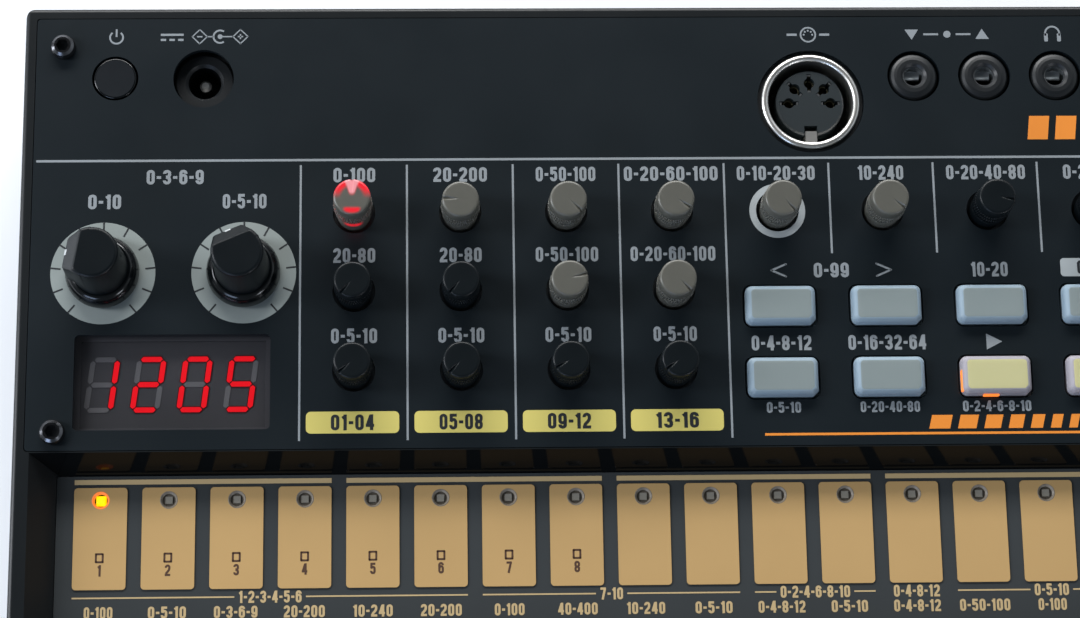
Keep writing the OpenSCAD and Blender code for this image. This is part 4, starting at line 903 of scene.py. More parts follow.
@dataclass(frozen=True)
class Layout:
    """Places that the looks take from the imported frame."""

    plate: tuple[Point, Point]
    small: tuple[Spot, ...]
    large: tuple[Spot, ...]
    buttons: tuple[Spot, ...]
    pads: tuple[float, ...]
    pad_box: tuple[Point, Point]
    sheet: tuple[Point, Point]
    window: tuple[Point, Point]

    PAD_COUNT = 16
    PAD_WIDTH = 8.6

    @property
    def top(self) -> float:
        """Height of the plate's surface."""
        return self.plate[1][2]

    @property
    def sheet_top(self) -> float:
        """Height of the touch sheet's surface."""
        return self.sheet[1][2]

    @staticmethod
    def box(node: str) -> tuple[Point, Point]:
        """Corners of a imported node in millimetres."""
        low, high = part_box(node)
        return tuple(c / MM for c in low), tuple(c / MM for c in high)

    @classmethod
    def middle(cls, node: str) -> Flat:
        """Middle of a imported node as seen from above, in millimetres."""
        low, high = cls.box(node)
        return (low[0] + high[0]) / 2, (low[1] + high[1]) / 2

    @classmethod
    def read(cls, frame: dict[str, object]) -> "Layout":
        """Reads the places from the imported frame.


        Returns:
            The layout.
        """
        small, large, buttons = [], [], []
        for joint in frame["joints"]:
            node = joint["child"]
            if joint["name"].endswith("_turn"):
                low, high = joint["range_deg"]
                spot = Spot(node, joint["pos_m"][0] / MM, joint["pos_m"][1] / MM, (low + high) / 2)
                (large if node.startswith("stutter") else small).append(spot)
            elif joint["name"].endswith("_press") and node != "power_button":
                buttons.append(Spot(node, *cls.middle(node)))
        pad_low, pad_high = cls.box("touch_pads")
        pitch = (pad_high[0] - pad_low[0] - cls.PAD_WIDTH) / (cls.PAD_COUNT - 1)
        return cls(
            plate=cls.box("panel_plate"),
            small=tuple(small),
            large=tuple(large),
            buttons=tuple(buttons),
            pads=tuple(pad_low[0] + cls.PAD_WIDTH / 2 + i * pitch for i in range(cls.PAD_COUNT)),
            pad_box=(pad_low, pad_high),
            sheet=cls.box("touch_panel"),
            window=cls.box("display_window"),
        )


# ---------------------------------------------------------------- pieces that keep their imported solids


@dataclass
class CaseDress:
    """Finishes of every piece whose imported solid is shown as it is."""

    nodes: dict[str, bpy.types.Object]
    layout: Layout
    lit_reach: float = 4.0
    cell_end: float = 1.9
    pin_radius: float = 1.15
    well_end: float = 89.5
    rim_side: float = 96.2
    rim_front: float = -57.2
    rim_top: float = 31.8

    @property
    def plan(self) -> dict[str, Finish]:
        """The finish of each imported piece.

        Returns:
            Each finish by the name of its node.
        """
        return {
            "bottom_case": MOULDED_ABS,
            "top_case": MOULDED_ABS,
            "touch_bezel": POLISHED_ABS,
            "battery_door": MOULDED_ABS,
            "panel_plate": PANEL_PAINT,
            "panel_screws": BLACK_STEEL,
            "case_screws": ZINC_STEEL,
            "rubber_feet": FOOT_RUBBER,
            "touch_panel": TOUCH_SHEET,
            "touch_pads": PAD_GOLD,
            "touch_board": SOLDER_MASK,
            "step_leds": DIODE_DARK,
            "main_board": SOLDER_MASK,
            "jack_board": SOLDER_MASK,
            "flex_cable": POLYIMIDE,
            "knob_pots": ZINC_STEEL,
            "stutter_pots": ZINC_STEEL,
            "button_switches": BLACK_NYLON,
            "indicator_leds": DIODE_DARK,
            "power_switch": BLACK_NYLON,
            "dc_jack": SOCKET_NYLON,
            "midi_body": SOCKET_NYLON,
            "midi_insert": INSULATOR,
            "midi_contacts": CONTACT_BRASS,
            "sync_jacks": SOCKET_NYLON,
            "headphone_jack": SOCKET_NYLON,
            "display_window": SMOKED_ACRYLIC,
            "display_module": DISPLAY_BODY,
            "speaker_frame": ZINC_STEEL,
            "speaker_cone": CONE_PAPER,
            "battery_cells": CELL_SLEEVE,
            "battery_contacts": SPRING_STEEL,
        }

    def build(self) -> None:
        """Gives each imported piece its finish, and a second one to the faces that differ."""
        for node, finish in self.plan.items():
            materials = self.nodes[node].data.materials
            materials.clear()
            materials.append(finish.material())
        low, high = Layout.box("battery_cells")
        pin = Vector(Layout.middle("dc_jack"))
        self.second("step_leds", DIODE_LIT, lambda p: p.x < self.layout.pads[0] + self.lit_reach)
        self.second("battery_cells", ZINC_STEEL, lambda p: not low[1] + self.cell_end <= p.y <= high[1] - self.cell_end)
        self.second("dc_jack", NICKEL, lambda p: (p.xy - pin).length < self.pin_radius)
        self.second("touch_bezel", WELL_SIDE, lambda p: abs(p.x) > self.well_end)
        self.second("touch_bezel", MOULDED_ABS, self.outside_well)

    def outside_well(self, place: Vector) -> bool:
        """Whether a place of the bezel lies on the case's outside or on its deck."""
        return place.z > self.rim_top or abs(place.x) > self.rim_side or place.y < self.rim_front

    def second(self, node: str, finish: Finish, chosen: Callable[[Vector], bool]) -> None:
        """Gives some of a piece's faces another finish.

        Args:
            node: the piece.
            finish: the other finish.
            chosen: tells from a face's middle, in millimetres, whether the face takes it.
        """
        mesh = self.nodes[node].data
        mesh.materials.append(finish.material())
        faces = [face for face in mesh.polygons if chosen(face.center / MM)]
        for face in faces:
            face.material_index = len(mesh.materials) - 1
        LOG.info("%s: %d faces of %s", node, len(faces), finish.name)


# ---------------------------------------------------------------- printed legends


class Ink(Enum):
    """The inks that the plate and the touch sheet are printed with."""

    GREY = "grey"
    RING = "ring"
    PALE = "pale"
    DARK = "dark"
    YELLOW = "yellow"
    ORANGE = "orange"


@dataclass
class PanelPrint:
    """Print on the plate: rules, dial rings, tabs, figures and signs."""

    layout: Layout
    figures: Figures
    rule_width: float = 0.4
    column_rule: float = 0.34
    label_height: float = 2.5
    dial_outer: float = 8.57
    dial_inner: float = 5.2
    tick_in: float = 6.95
    tick_width: float = 0.28
    tick_step: float = 28.0
    small_dial: Flat = (4.64, 3.55)
    arrow_width: float = 0.32
    small_share: float = 0.72
    tab_width: float = 15.1
    tab_height: float = 3.6
    tab_corner: float = 0.8
    tab_text: Flat = (2.6, 7.0)
    sheets: dict[Ink, InkSheet] = field(default_factory=dict)

    # Places across the plate, from left to right
    COLUMN_RULES = (-50.35, -32.81, -15.26, 2.30, 19.84)
    SHORT_RULES = (37.33, 54.79, 72.25)
    TAB_CENTRES = (-41.72, -24.15, -6.58, 10.97)
    POWER_X, SUPPLY_X, POLARITY_X, DIN_X, PHONES_X = -81.28, -73.9, -64.0, 34.84, 76.3
    SYNC_OUT_X, SYNC_IN_X = 52.38, 64.34
    # Places from the rear to the front
    SIGN_Y, RULE_Y, COLUMN_REAR, LARGE_LABEL_Y, SHORT_FRONT = 52.4, 30.77, 29.89, 23.75, 14.33
    ARROW_Y, PLAY_Y, BUTTON_LABEL_Y, TAB_Y, LINE_Y, COLUMN_FRONT = 11.45, -0.8, -11.55, -13.5, -16.0, -16.49
    # Each row of knobs: the height of its numbers on the plate, and each number with the width that it fills
    KNOB_ROWS = (
        (
            28.15,
            (
                ("0-100", 6.9),
                ("20-200", 8.9),
                ("0-50-100", 9.9),
                ("0-20-60-100", 15.6),
                ("0-10-20-30", 13.0),
                ("10-240", 7.6),
                ("0-20-40-80", 13.2),
                ("0-2-4-8", 9.0),
            ),
        ),
        (14.4, (("20-80", 6.9), ("20-80", 6.9), ("0-50-100", 10.3), ("0-20-60-100", 14.0))),
        (0.85, (("0-5-10", 7.5), ("0-5-10", 7.5), ("0-5-10", 7.5), ("0-5-10", 7.1))),
    )

    def build(self) -> None:
        """Prints everything and makes one piece of each ink."""
        for ink, finish, lift in (
            (Ink.GREY, GREY_INK, 0.03),
            (Ink.RING, RING_INK, 0.03),
            (Ink.PALE, PALE_INK, 0.03),
            (Ink.DARK, DARK_INK, 0.05),
            (Ink.YELLOW, YELLOW_INK, 0.03),
            (Ink.ORANGE, ORANGE_INK, 0.03),
        ):
            self.sheets[ink] = InkSheet(
                f"panel_print_{ink.value}", self.layout.top, finish, "panel_paint", self.figures, proud=lift
            )
        self.rules()
        self.dials()
        self.knob_labels()
        self.button_labels()
        self.tabs()
        self.socket_signs()
        self.ornaments()
        for sheet in self.sheets.values():
            sheet.build()

    def rules(self) -> None:
        """Prints the lines that part the panel."""
        grey = self.sheets[Ink.GREY]
        left, right = self.layout.plate[0][0], self.layout.plate[1][0]
        grey.rule((left + 0.5, self.RULE_Y), (right - 0.5, self.RULE_Y), self.rule_width)
        for columns, front in ((self.COLUMN_RULES, self.COLUMN_FRONT), (self.SHORT_RULES, self.SHORT_FRONT)):
            for x in columns:
                grey.rule((x, self.COLUMN_REAR), (x, front), self.column_rule)

    def dials(self) -> None:
        """Prints the rings round the large knobs with their ticks, and the ring of one small knob."""
        for spot in self.layout.large:
            self.sheets[Ink.RING].ring((spot.x, spot.y), self.dial_outer, self.dial_inner)
            middle = Vector((spot.x, spot.y))
            for i in range(-5, 6):
                angle = math.radians(self.tick_step * i)
                out = Vector((math.sin(angle), math.cos(angle)))
                start, end = middle + out * self.tick_in, middle + out * (self.dial_outer + 0.1)
                self.sheets[Ink.DARK].rule(tuple(start), tuple(end), self.tick_width)
        speed = next(s for s in self.layout.small if s.node == "sample_speed_knob")
        self.sheets[Ink.PALE].ring((speed.x, speed.y), *self.small_dial)

    def knob_labels(self) -> None:
        """Prints a number over the left knob, over each large knob and over each knob of the three rows."""
        grey = self.sheets[Ink.GREY]
        height = self.label_height
        grey.number("0-3-6-9", (-71.06, 27.94), height, 9.4)
        for knob, number, span in zip(self.layout.large, ("0-10", "0-5-10"), (5.4, 7.2)):
            grey.number(number, (knob.x, self.LARGE_LABEL_Y), height, span)
        columns = sorted({round(s.x, 1) for s in self.layout.small})
        for y, row in self.KNOB_ROWS:
            for x, (number, span) in zip(columns, row):
                grey.number(number, (x, y), height, span)

    def button_labels(self) -> None:
        """Prints arrows, signs and numbers round the buttons."""
        grey = self.sheets[Ink.GREY]
        columns = sorted({round(s.x, 1) for s in self.layout.buttons})
        height = self.label_height
        arrow, play = self.ARROW_Y, self.PLAY_Y
        reach, half = 1.2, 1.05
        for x, side in ((columns[0], -1), (columns[1], 1)):
            back, tip = x - side * reach, x + side * reach
            grey.line([(back, arrow + half), (tip, arrow), (back, arrow - half)], self.arrow_width)
        grey.number("0-99", ((columns[0] + columns[1]) / 2, arrow), height, 5.8)
        grey.number("10-20", (columns[2], arrow), height, 6.1)
        grey.number("0-4-8-12", (columns[0], play), height, 9.8)
        grey.number("0-16-32-64", (columns[1], play), height, 12.8)
        # The signs for play and record
        back = columns[2] - 1.15
        grey.area([(back, play + 1.35), (back, play - 1.35), (columns[2] + 1.45, play)])
        grey.area(circle(1.3, 32, (columns[3], play)))
        numbers = (("0-5-10", 5.6), ("0-20-40-80", 9.7), ("0-2-4-6-8-10", 11.2), ("0-4-8-12", 7.0))
        for x, (number, span) in zip(columns, numbers):
            grey.number(number, (x, self.BUTTON_LABEL_Y), height * self.small_share, span)
        # The pale plate over the last column, with dark figures
        self.sheets[Ink.PALE].box(75.15, 10.15, 87.0, 13.25, radius=0.6)
        self.sheets[Ink.DARK].number("0-100", (81.07, 11.7), height * 0.92, 6.3)

    def tabs(self) -> None:
        """Prints a yellow tab with dark figures under each of the first four columns."""
        half, rise = self.tab_width / 2, self.tab_height / 2
        for x, steps in zip(self.TAB_CENTRES, ("01-04", "05-08", "09-12", "13-16")):
            self.sheets[Ink.YELLOW].box(x - half, self.TAB_Y - rise, x + half, self.TAB_Y + rise, self.tab_corner)
            self.sheets[Ink.DARK].number(steps, (x, self.TAB_Y), *self.tab_text)

    def socket_signs(self) -> None:
        """Prints the power, supply, plug and headphone signs over the sockets."""
        grey = self.sheets[Ink.GREY]
        y, thin = self.SIGN_Y, 0.3
        # Power: an open circle with a stroke
        grey.arc((self.POWER_X, y - 0.1), 1.08, 130, 410, thin)
        grey.rule((self.POWER_X, y), (self.POWER_X, y + 1.35), thin)
        # Direct current: a line over three dashes
        left = self.SUPPLY_X
        grey.rule((left, y + 0.35), (left + 3.8, y + 0.35), 0.38)
        for start in (left, left + 1.45, left + 2.9):
            grey.rule((start, y - 0.55), (start + 0.9, y - 0.55), 0.38)
        # Polarity: a minus and a plus in diamonds, tied to the plug's ring and its pin
        middle, size = self.POLARITY_X, 1.25
        for x, plus in ((middle - 3.4, False), (middle + 3.4, True)):
            grey.line([(x - size, y), (x, y + size), (x + size, y), (x, y - size)], 0.2, closed=True)
            grey.rule((x - 0.45, y), (x + 0.45, y), 0.24)
            if plus:
                grey.rule((x, y - 0.45), (x, y + 0.45), 0.24)
        grey.arc((middle, y), 1.1, 55, 305, thin)
        grey.area(circle(0.42, 20, (middle, y)))
        grey.rule((middle - 2.15, y), (middle - 1.1, y), 0.22)
        grey.rule((middle + 0.4, y), (middle + 2.15, y), 0.22)
        # Round socket: a ring with five pins, between two dashes
        middle = self.DIN_X
        grey.arc((middle, y), 1.25, 0, 360, 0.28)
        for c, s in bow(0, 180, 4):
            grey.area(circle(0.17, 12, (middle + 0.72 * c, y + 0.72 * s)))
        for side in (-1, 1):
            grey.rule((middle + side * 1.9, y), (middle + side * 3.6, y), 0.4)
        # Sync: a triangle out and a triangle in, joined over a dot
        for x, way in ((self.SYNC_OUT_X, -1), (self.SYNC_IN_X, 1)):
            grey.area([(x - 1.15, y - way * 0.85), (x + 1.15, y - way * 0.85), (x, y + way * 0.95)])
        grey.rule((54.4, y), (56.9, y), 0.34)
        grey.rule((59.9, y), (62.4, y), 0.34)
        grey.area(circle(0.62, 24, (58.4, y)))
        # Headphones: a bow over two pads
        grey.arc((self.PHONES_X, y + 0.1), 1.2, -20, 200, thin)
        for x in (self.PHONES_X - 1.1, self.PHONES_X + 1.1):
            grey.box(x - 0.32, y - 1.35, x + 0.32, y + 0.1, radius=0.2)

    def ornaments(self) -> None:
        """Prints the orange line with a row of slanted bars on it, and four plain bars at the rear."""
        orange = self.sheets[Ink.ORANGE]
        orange.rule((25.16, self.LINE_Y), (self.layout.plate[1][0] - 7.2, self.LINE_Y), self.rule_width)
        bars, x = [], 52.0
        for width in (3.4, 3.0, 2.7, 2.3, 2.0, 1.7, 1.4, 1.1, 0.8):
            bars.append((x, width, -15.25, -13.0, 0.55))
            x += width + 1.3
        bars += [(71.0 + 4.6 * i, 3.4, 33.8, 37.9, 0.5) for i in range(4)]
        for left, width, front, rear, lean in bars:
            orange.area([(left, front), (left + width, front), (left + width + lean, rear), (left + lean, rear)])


@dataclass
class StripPrint:
    """Print on the touch sheet and its pads."""

    layout: Layout
    figures: Figures
    bar_height: float = 0.8
    bar_gap: float = 0.55
    line_width: float = 0.24
    line_gap: float = 0.7
    title_y: float = -41.0
    name_y: float = -43.4
    text_height: float = 1.95
    pad_text_height: float = 1.85
    pad_text_y: float = -36.6
    square: tuple[float, float, float] = (-35.2, -33.9, 0.55)
    groups: tuple[tuple[int, int, str], ...] = (
        (0, 5, "1-2-3-4-5-6"),
        (6, 9, "7-10"),
        (10, 11, "0-2-4-6-8-10"),
        (12, 12, "0-4-8-12"),
        (13, 15, "0-5-10"),
    )
    names: tuple[tuple[str, float], ...] = (
        ("0-100", 4.6),
        ("0-5-10", 6.1),
        ("0-3-6-9", 7.0),
        ("20-200", 6.6),
        ("10-240", 6.4),
        ("20-200", 6.6),
        ("0-100", 4.8),
        ("40-400", 6.4),
        ("10-240", 6.2),
        ("0-5-10", 6.0),
        ("0-4-8-12", 7.6),
        ("0-5-10", 5.9),
        ("0-4-8-12", 7.6),
        ("0-50-100", 8.2),
        ("0-100", 4.6),
        ("0-5-10", 6.0),
    )

    def build(self) -> None:
        """Prints the gold bars, lines and numbers, and the brown numbers on the pads."""
        gold = InkSheet("strip_print_gold", self.layout.sheet_top, GOLD_INK, "touch_sheet", self.figures, 0.04)
        half = Layout.PAD_WIDTH / 2
        pads, pad_rear = self.layout.pads, self.layout.pad_box[1][1]
        bar = pad_rear + self.bar_gap
        for first in range(0, len(pads), 4):
            gold.box(pads[first] - half, bar, pads[first + 3] + half, bar + self.bar_height)
        for first, last, title in self.groups:
            middle = (pads[first] + pads[last]) / 2
            width = gold.number(title, (middle, self.title_y), self.text_height)
            if last > first:
                for side, end in ((-1, pads[first] - half), (1, pads[last] + half)):
                    start = middle + side * (width / 2 + self.line_gap)
                    gold.rule((start, self.title_y), (end, self.title_y), self.line_width)
        for x, (name, span) in zip(pads, self.names):
            gold.number(name, (x, self.name_y), self.text_height, span)
        gold.build()
        pad_top = self.layout.pad_box[1][2]
        brown = InkSheet("strip_print_brown", pad_top, BROWN_INK, "pad_gold", self.figures, 0.02)
        front, rear, side = self.square
        for i, x in enumerate(pads[:8]):
            brown.number(str(i + 1), (x, self.pad_text_y), self.pad_text_height)
            brown.line(corners(x - side, front, x + side, rear), 0.32, closed=True)
        brown.build()


# ---------------------------------------------------------------- lamps of the strip


@dataclass
class StepWells:
    """The sloped rims in the touch sheet round the sixteen diodes."""

    layout: Layout
    outer: float = 1.44
    inner: float = 1.07
    drop: float = 0.35
    floor_drop: float = 0.5
    foot_drop: float = 0.9
    led_in: float = 2.05

    def build(self) -> None:
        """Makes the dark rims as one piece, the first one, with a painted glow for its lit diode, as another, and the
        floors with painted shade.
        """
        _, rear, pad_top = self.layout.pad_box[1]
        y, top = rear - self.led_in, pad_top + 0.01
        foot, slope_end = top - self.foot_drop, top - self.drop
        profile = (
            (self.outer, foot),
            (self.outer, top),
            (self.outer - 0.08, top + 0.02),
            (self.inner + 0.04, slope_end + 0.03),
            (self.inner, slope_end),
            (self.inner, foot),
            (self.outer, foot),
        )
        # The rim round the lit diode takes a painted glow
        for name, spots, finish in (
            ("step_rims", self.layout.pads[1:], LED_WELL),
            ("step_rim_painted_glow", self.layout.pads[:1], LED_WELL_PAINTED_GLOW),
        ):
            draft = Draft()
            for x in spots:
                draft.lathe(profile, 48, (x, y), solid=False)
            draft.build(name, [finish], "root", "touch_sheet")
        # Floors deep in the holes, painted darker as their shade
        floor, level = Draft(), top - self.floor_drop
        for x in self.layout.pads[1:]:
            floor.annulus(self.inner + 0.02, 0.5, level - 0.1, level, (x, y), 32)
        floor.build("step_well_floors_painted_shade", [LED_PAINTED_SHADE], "root", "touch_sheet")


# ---------------------------------------------------------------- display


class Segment(Enum):
    """The seven segments of a digit: its ends as shares of the digit's half width and half height."""

    TOP = ((-1, 1), (1, 1))
    UPPER_RIGHT = ((1, 1), (1, 0))
    LOWER_RIGHT = ((1, 0), (1, -1))
    BOTTOM = ((-1, -1), (1, -1))
    LOWER_LEFT = ((-1, 0), (-1, -1))
    UPPER_LEFT = ((-1, 1), (-1, 0))
    MIDDLE = ((-1, 0), (1, 0))


FIGURE_SEGMENTS: dict[str, tuple[Segment, ...]] = {
    "0": tuple(s for s in Segment if s is not Segment.MIDDLE),
    "1": (Segment.UPPER_RIGHT, Segment.LOWER_RIGHT),
    "2": (Segment.TOP, Segment.UPPER_RIGHT, Segment.MIDDLE, Segment.LOWER_LEFT, Segment.BOTTOM),
    "5": (Segment.TOP, Segment.UPPER_LEFT, Segment.MIDDLE, Segment.LOWER_RIGHT, Segment.BOTTOM),
}


@dataclass
class DisplayDigits:
    """Four seven-segment digits that lie on the display's block, under its window."""

    layout: Layout
    reading: str = "1205"
    pitch: float = 7.53
    half_width: float = 1.97
    half_height: float = 4.2
    stroke: float = 0.84
    slant: float = 7.0
    gap: float = 0.2
    point: float = 0.8
    offset: Flat = (-0.3, 0.05)
    sunk: float = 0.05
    lit_proud: float = 0.14
    halo_proud: float = 0.1
    dark_proud: float = 0.08
    halo_grow: float = 0.16

    def bar(self, segment: Segment, digit: float, grow: float = 0.0) -> list[Flat]:
        """One segment's outline.

        Args:
            segment: which of the seven.
            digit: how many places right of the display's middle the digit stands.
            grow: how much wider than the segment the outline is, all round.

        Returns:
            Six points, with pointed ends.
        """
        (ax, ay), (bx, by) = segment.value
        start = Vector((ax * self.half_width, ay * self.half_height))
        end = Vector((bx * self.half_width, by * self.half_height))
        run = (end - start).normalized()
        half = self.stroke / 2 + grow
        side, point = Vector((-run.y, run.x)) * half, run * half * self.point
        start += run * (self.gap - grow)
        end -= run * (self.gap - grow)
        shape = [start, start + point + side, end - point + side, end, end - point - side, start + point - side]
        lean = math.tan(math.radians(self.slant))
        middle = Layout.middle("display_window")
        x, y = middle[0] + self.offset[0] + digit * self.pitch, middle[1] + self.offset[1]
        return [(x + p.x + p.y * lean, y + p.y) for p in shape]

    def build(self) -> None:
        """Makes the lit and the dark segments, and the painted glow that stands for the light spreading round the lit
        ones.
        """
        top = Layout.box("display_module")[1][2]
        foot = top - self.sunk
        lit, dark, halo = Draft(), Draft(), Draft()
        for place, figure in enumerate(self.reading):
            digit = place - (len(self.reading) - 1) / 2
            for segment in Segment:
                if segment in FIGURE_SEGMENTS[figure]:
                    lit.prism(self.bar(segment, digit), foot, top + self.lit_proud)
                    # A painted glow, a little wider than the segment
                    halo.prism(self.bar(segment, digit, self.halo_grow), foot, top + self.halo_proud)
                else:
                    dark.prism(self.bar(segment, digit), foot, top + self.dark_proud)
        self.frame_print()
        for name, draft, finish in (
            ("segments_lit", lit, SEGMENT_LIT),
            ("segments_dark", dark, SEGMENT_DARK),
            ("segments_halo", halo, SEGMENT_HALO),
        ):
            draft.build(name, [finish], "root", "display_block", sharp=20)

    def frame_print(self, lift: float = 0.03, gap: float = 0.1, thick: float = 0.02) -> None:
        """Makes the grey print under the window, round the display's block.

        Args:
            lift: how far over the window's underside it lies.
            gap: how far it reaches over the block's edge.
            thick: its thickness.
        """
        low, high = self.layout.window
        block_low, block_high = Layout.box("display_module")
        z = low[2] + lift
        outer = corners(low[0], low[1], high[0], high[1])
        inner = corners(block_low[0] + gap, block_low[1] + gap, block_high[0] - gap, block_high[1] - gap)
        section = ((inner, z), (outer, z), (outer, z + thick), (inner, z + thick), (inner, z))
        frame = Draft()
        frame.loft([[(x, y, level) for x, y in shape] for shape, level in section], foot=False, top=False)
        frame.build("display_frame_print", [DISPLAY_PRINT], "root", "display_block")


# ---------------------------------------------------------------- sockets and power button


@dataclass
class SocketParts:
    """The bright parts of the sockets: the DIN shell with its rolled lip and key, contact tips, jack sleeves."""

    plate: float
    shell: float = 7.8
    shell_bore: float = 7.1
    lip: float = 8.28
    lip_half: float = 0.5
    lip_drop: float = 1.1
    key_half: float = 0.95
    key_in: float = 5.0
    key_sunk: float = 0.3
    key_drop: float = 1.0
    collar: Flat = (8.86, 7.98)
    collar_drop: float = 0.75
    pin_circle: float = 3.5
    tip_at: float = 1.4
    tip_half: float = 0.3
    tip_thick: float = 0.28
    tip_drops: Flat = (1.4, 0.12)
    sleeve: float = 1.775
    sleeve_wall: float = 0.16
    sleeve_drops: Flat = (7.0, 0.35)
    jack_pitch: float = 11.96
    leaf_half: float = 1.25
    leaf_at: Flat = (0.85, -2.6)
    leaf_bow: Flat = (0.95, 0.75)

    def build(self) -> None:
        """Makes every part."""
        low, high = Layout.box("midi_shell")
        at = Layout.middle("midi_shell")
        self.din_shell(at, low[2], high[2])
        self.din_collar(at, Layout.box("midi_body")[1][2] - 0.05)
        self.contact_tips(at, Layout.box("midi_insert")[1][2])
        self.jack_sleeves()

    def din_shell(self, at: Flat, foot: float, top: float) -> None:
        """Makes the tube with its rolled lip, and the key that stands inwards from its front.

        Args:
            at: the socket's middle.
            foot: height of the tube's lower end.
            top: height of its lip.
        """
        bore, bead, half = self.shell_bore, (self.lip - self.shell_bore) / 2, self.lip_half
        profile = [(bore, foot), (self.shell, foot), (self.shell, top - self.lip_drop)]
        profile += [(bore + bead + bead * c, top - half + half * s) for c, s in bow(-40, 180, 14)]
        profile.append((bore, foot))
        draft = Draft()
        draft.lathe(profile, 144, solid=False)
        key = corners(-self.key_half, self.key_sunk - self.shell, self.key_half, -self.key_in)
        draft.prism(key, foot, top - self.key_drop)
        draft.build("midi_shell_rolled", [NICKEL], "root", "nickel_ring", ["midi_shell"], (*at, 0.0), sharp=40)

    def din_collar(self, at: Flat, foot: float) -> None:
        """Makes the nylon collar that fills the gap between the shell and the plate.

        Args:
            at: the socket's middle.
            foot: height of the collar's underside.
        """
        draft = Draft()
        draft.annulus(*self.collar, foot, self.plate - self.collar_drop, steps=120)
        draft.build("midi_collar", [SOCKET_NYLON], "root", "socket_plastic", at=(*at, 0.0))

    def contact_tips(self, at: Flat, top: float) -> None:
        """Makes the tinned spring tips that show at both ends of each contact's slot.

        Args:
            at: the socket's middle.
            top: height of the insulator's face.
        """
        draft = Draft()
        for c, s in bow(0, 180, 4):
            along, aside = Vector((c, s)), Vector((-s, c)) * self.tip_half
            for end in (-self.tip_at, self.tip_at):
                inner = along * (self.pin_circle + end - self.tip_thick / 2)
                outer = inner + along * self.tip_thick
                shape = (inner - aside, outer - aside, outer + aside, inner + aside)
                draft.prism([tuple(p) for p in shape], *(top - drop for drop in self.tip_drops))
        draft.build("midi_contact_tips", [TINNED_BRASS], "root", "nickel_ring", at=(*at, 0.0))

    def jack_sleeves(self) -> None:
        """Makes the metal sleeve in the bore of each of the three jacks, with the spring leaf in it."""
        last, y = Layout.middle("headphone_jack")
        bore, half = self.sleeve - self.sleeve_wall, self.leaf_half
        foot, top = (self.plate - drop for drop in self.sleeve_drops)
        (behind, above), (reach, rise) = self.leaf_at, self.leaf_bow
        leaf = [(y + behind + reach * c, self.plate + above + rise * s) for c, s in bow(0, 180, 12)]
        draft = Draft()
        for x in (last, last - self.jack_pitch, last - 2 * self.jack_pitch):
            draft.annulus(self.sleeve, bore, foot, top, (x, y), 64)
            for (v0, z0), (v1, z1) in zip(leaf, leaf[1:]):
                draft.face([(x - half, v0, z0), (x + half, v0, z0), (x + half, v1, z1), (x - half, v1, z1)], 1)
        draft.build("jack_sleeves", [TINNED_BRASS, CONTACT_LEAF], "root", "nickel_ring")


@dataclass
class PowerButton:
    """The flush round power button: satin top, polished rounded edge, flange under the deck."""

    plate: float
    radius: float = 3.55
    edge: float = 0.32
    flange_height: float = 2.0
    satin_share: float = 0.6

    def build(self) -> None:
        """Makes the button."""
        low, high = Layout.box("power_button")
        at = (*Layout.middle("power_button"), 0.0)
        flange, shelf = (high[0] - low[0]) / 2, low[2] + self.flange_height
        inner, shoulder, edge = self.radius - self.edge, high[2] - self.edge, self.edge
        profile = [(flange, low[2]), (flange, shelf), (self.radius, shelf)]
        profile += [(inner + edge * c, shoulder + edge * s) for c, s in bow(0, 90, 8)]
        profile += [(inner - 0.05, high[2]), (self.radius * self.satin_share, high[2])]
        shades = [0] * (len(profile) - 3) + [1, 1]
        draft = Draft()
        draft.lathe(profile, 96, shades=shades)
        draft.build(
            "power_button_cap", [SKIRT_BLACK, POWER_TOP], "power_button", "knob_black", ["power_button"], at, sharp=40
        )


# ---------------------------------------------------------------- knobs


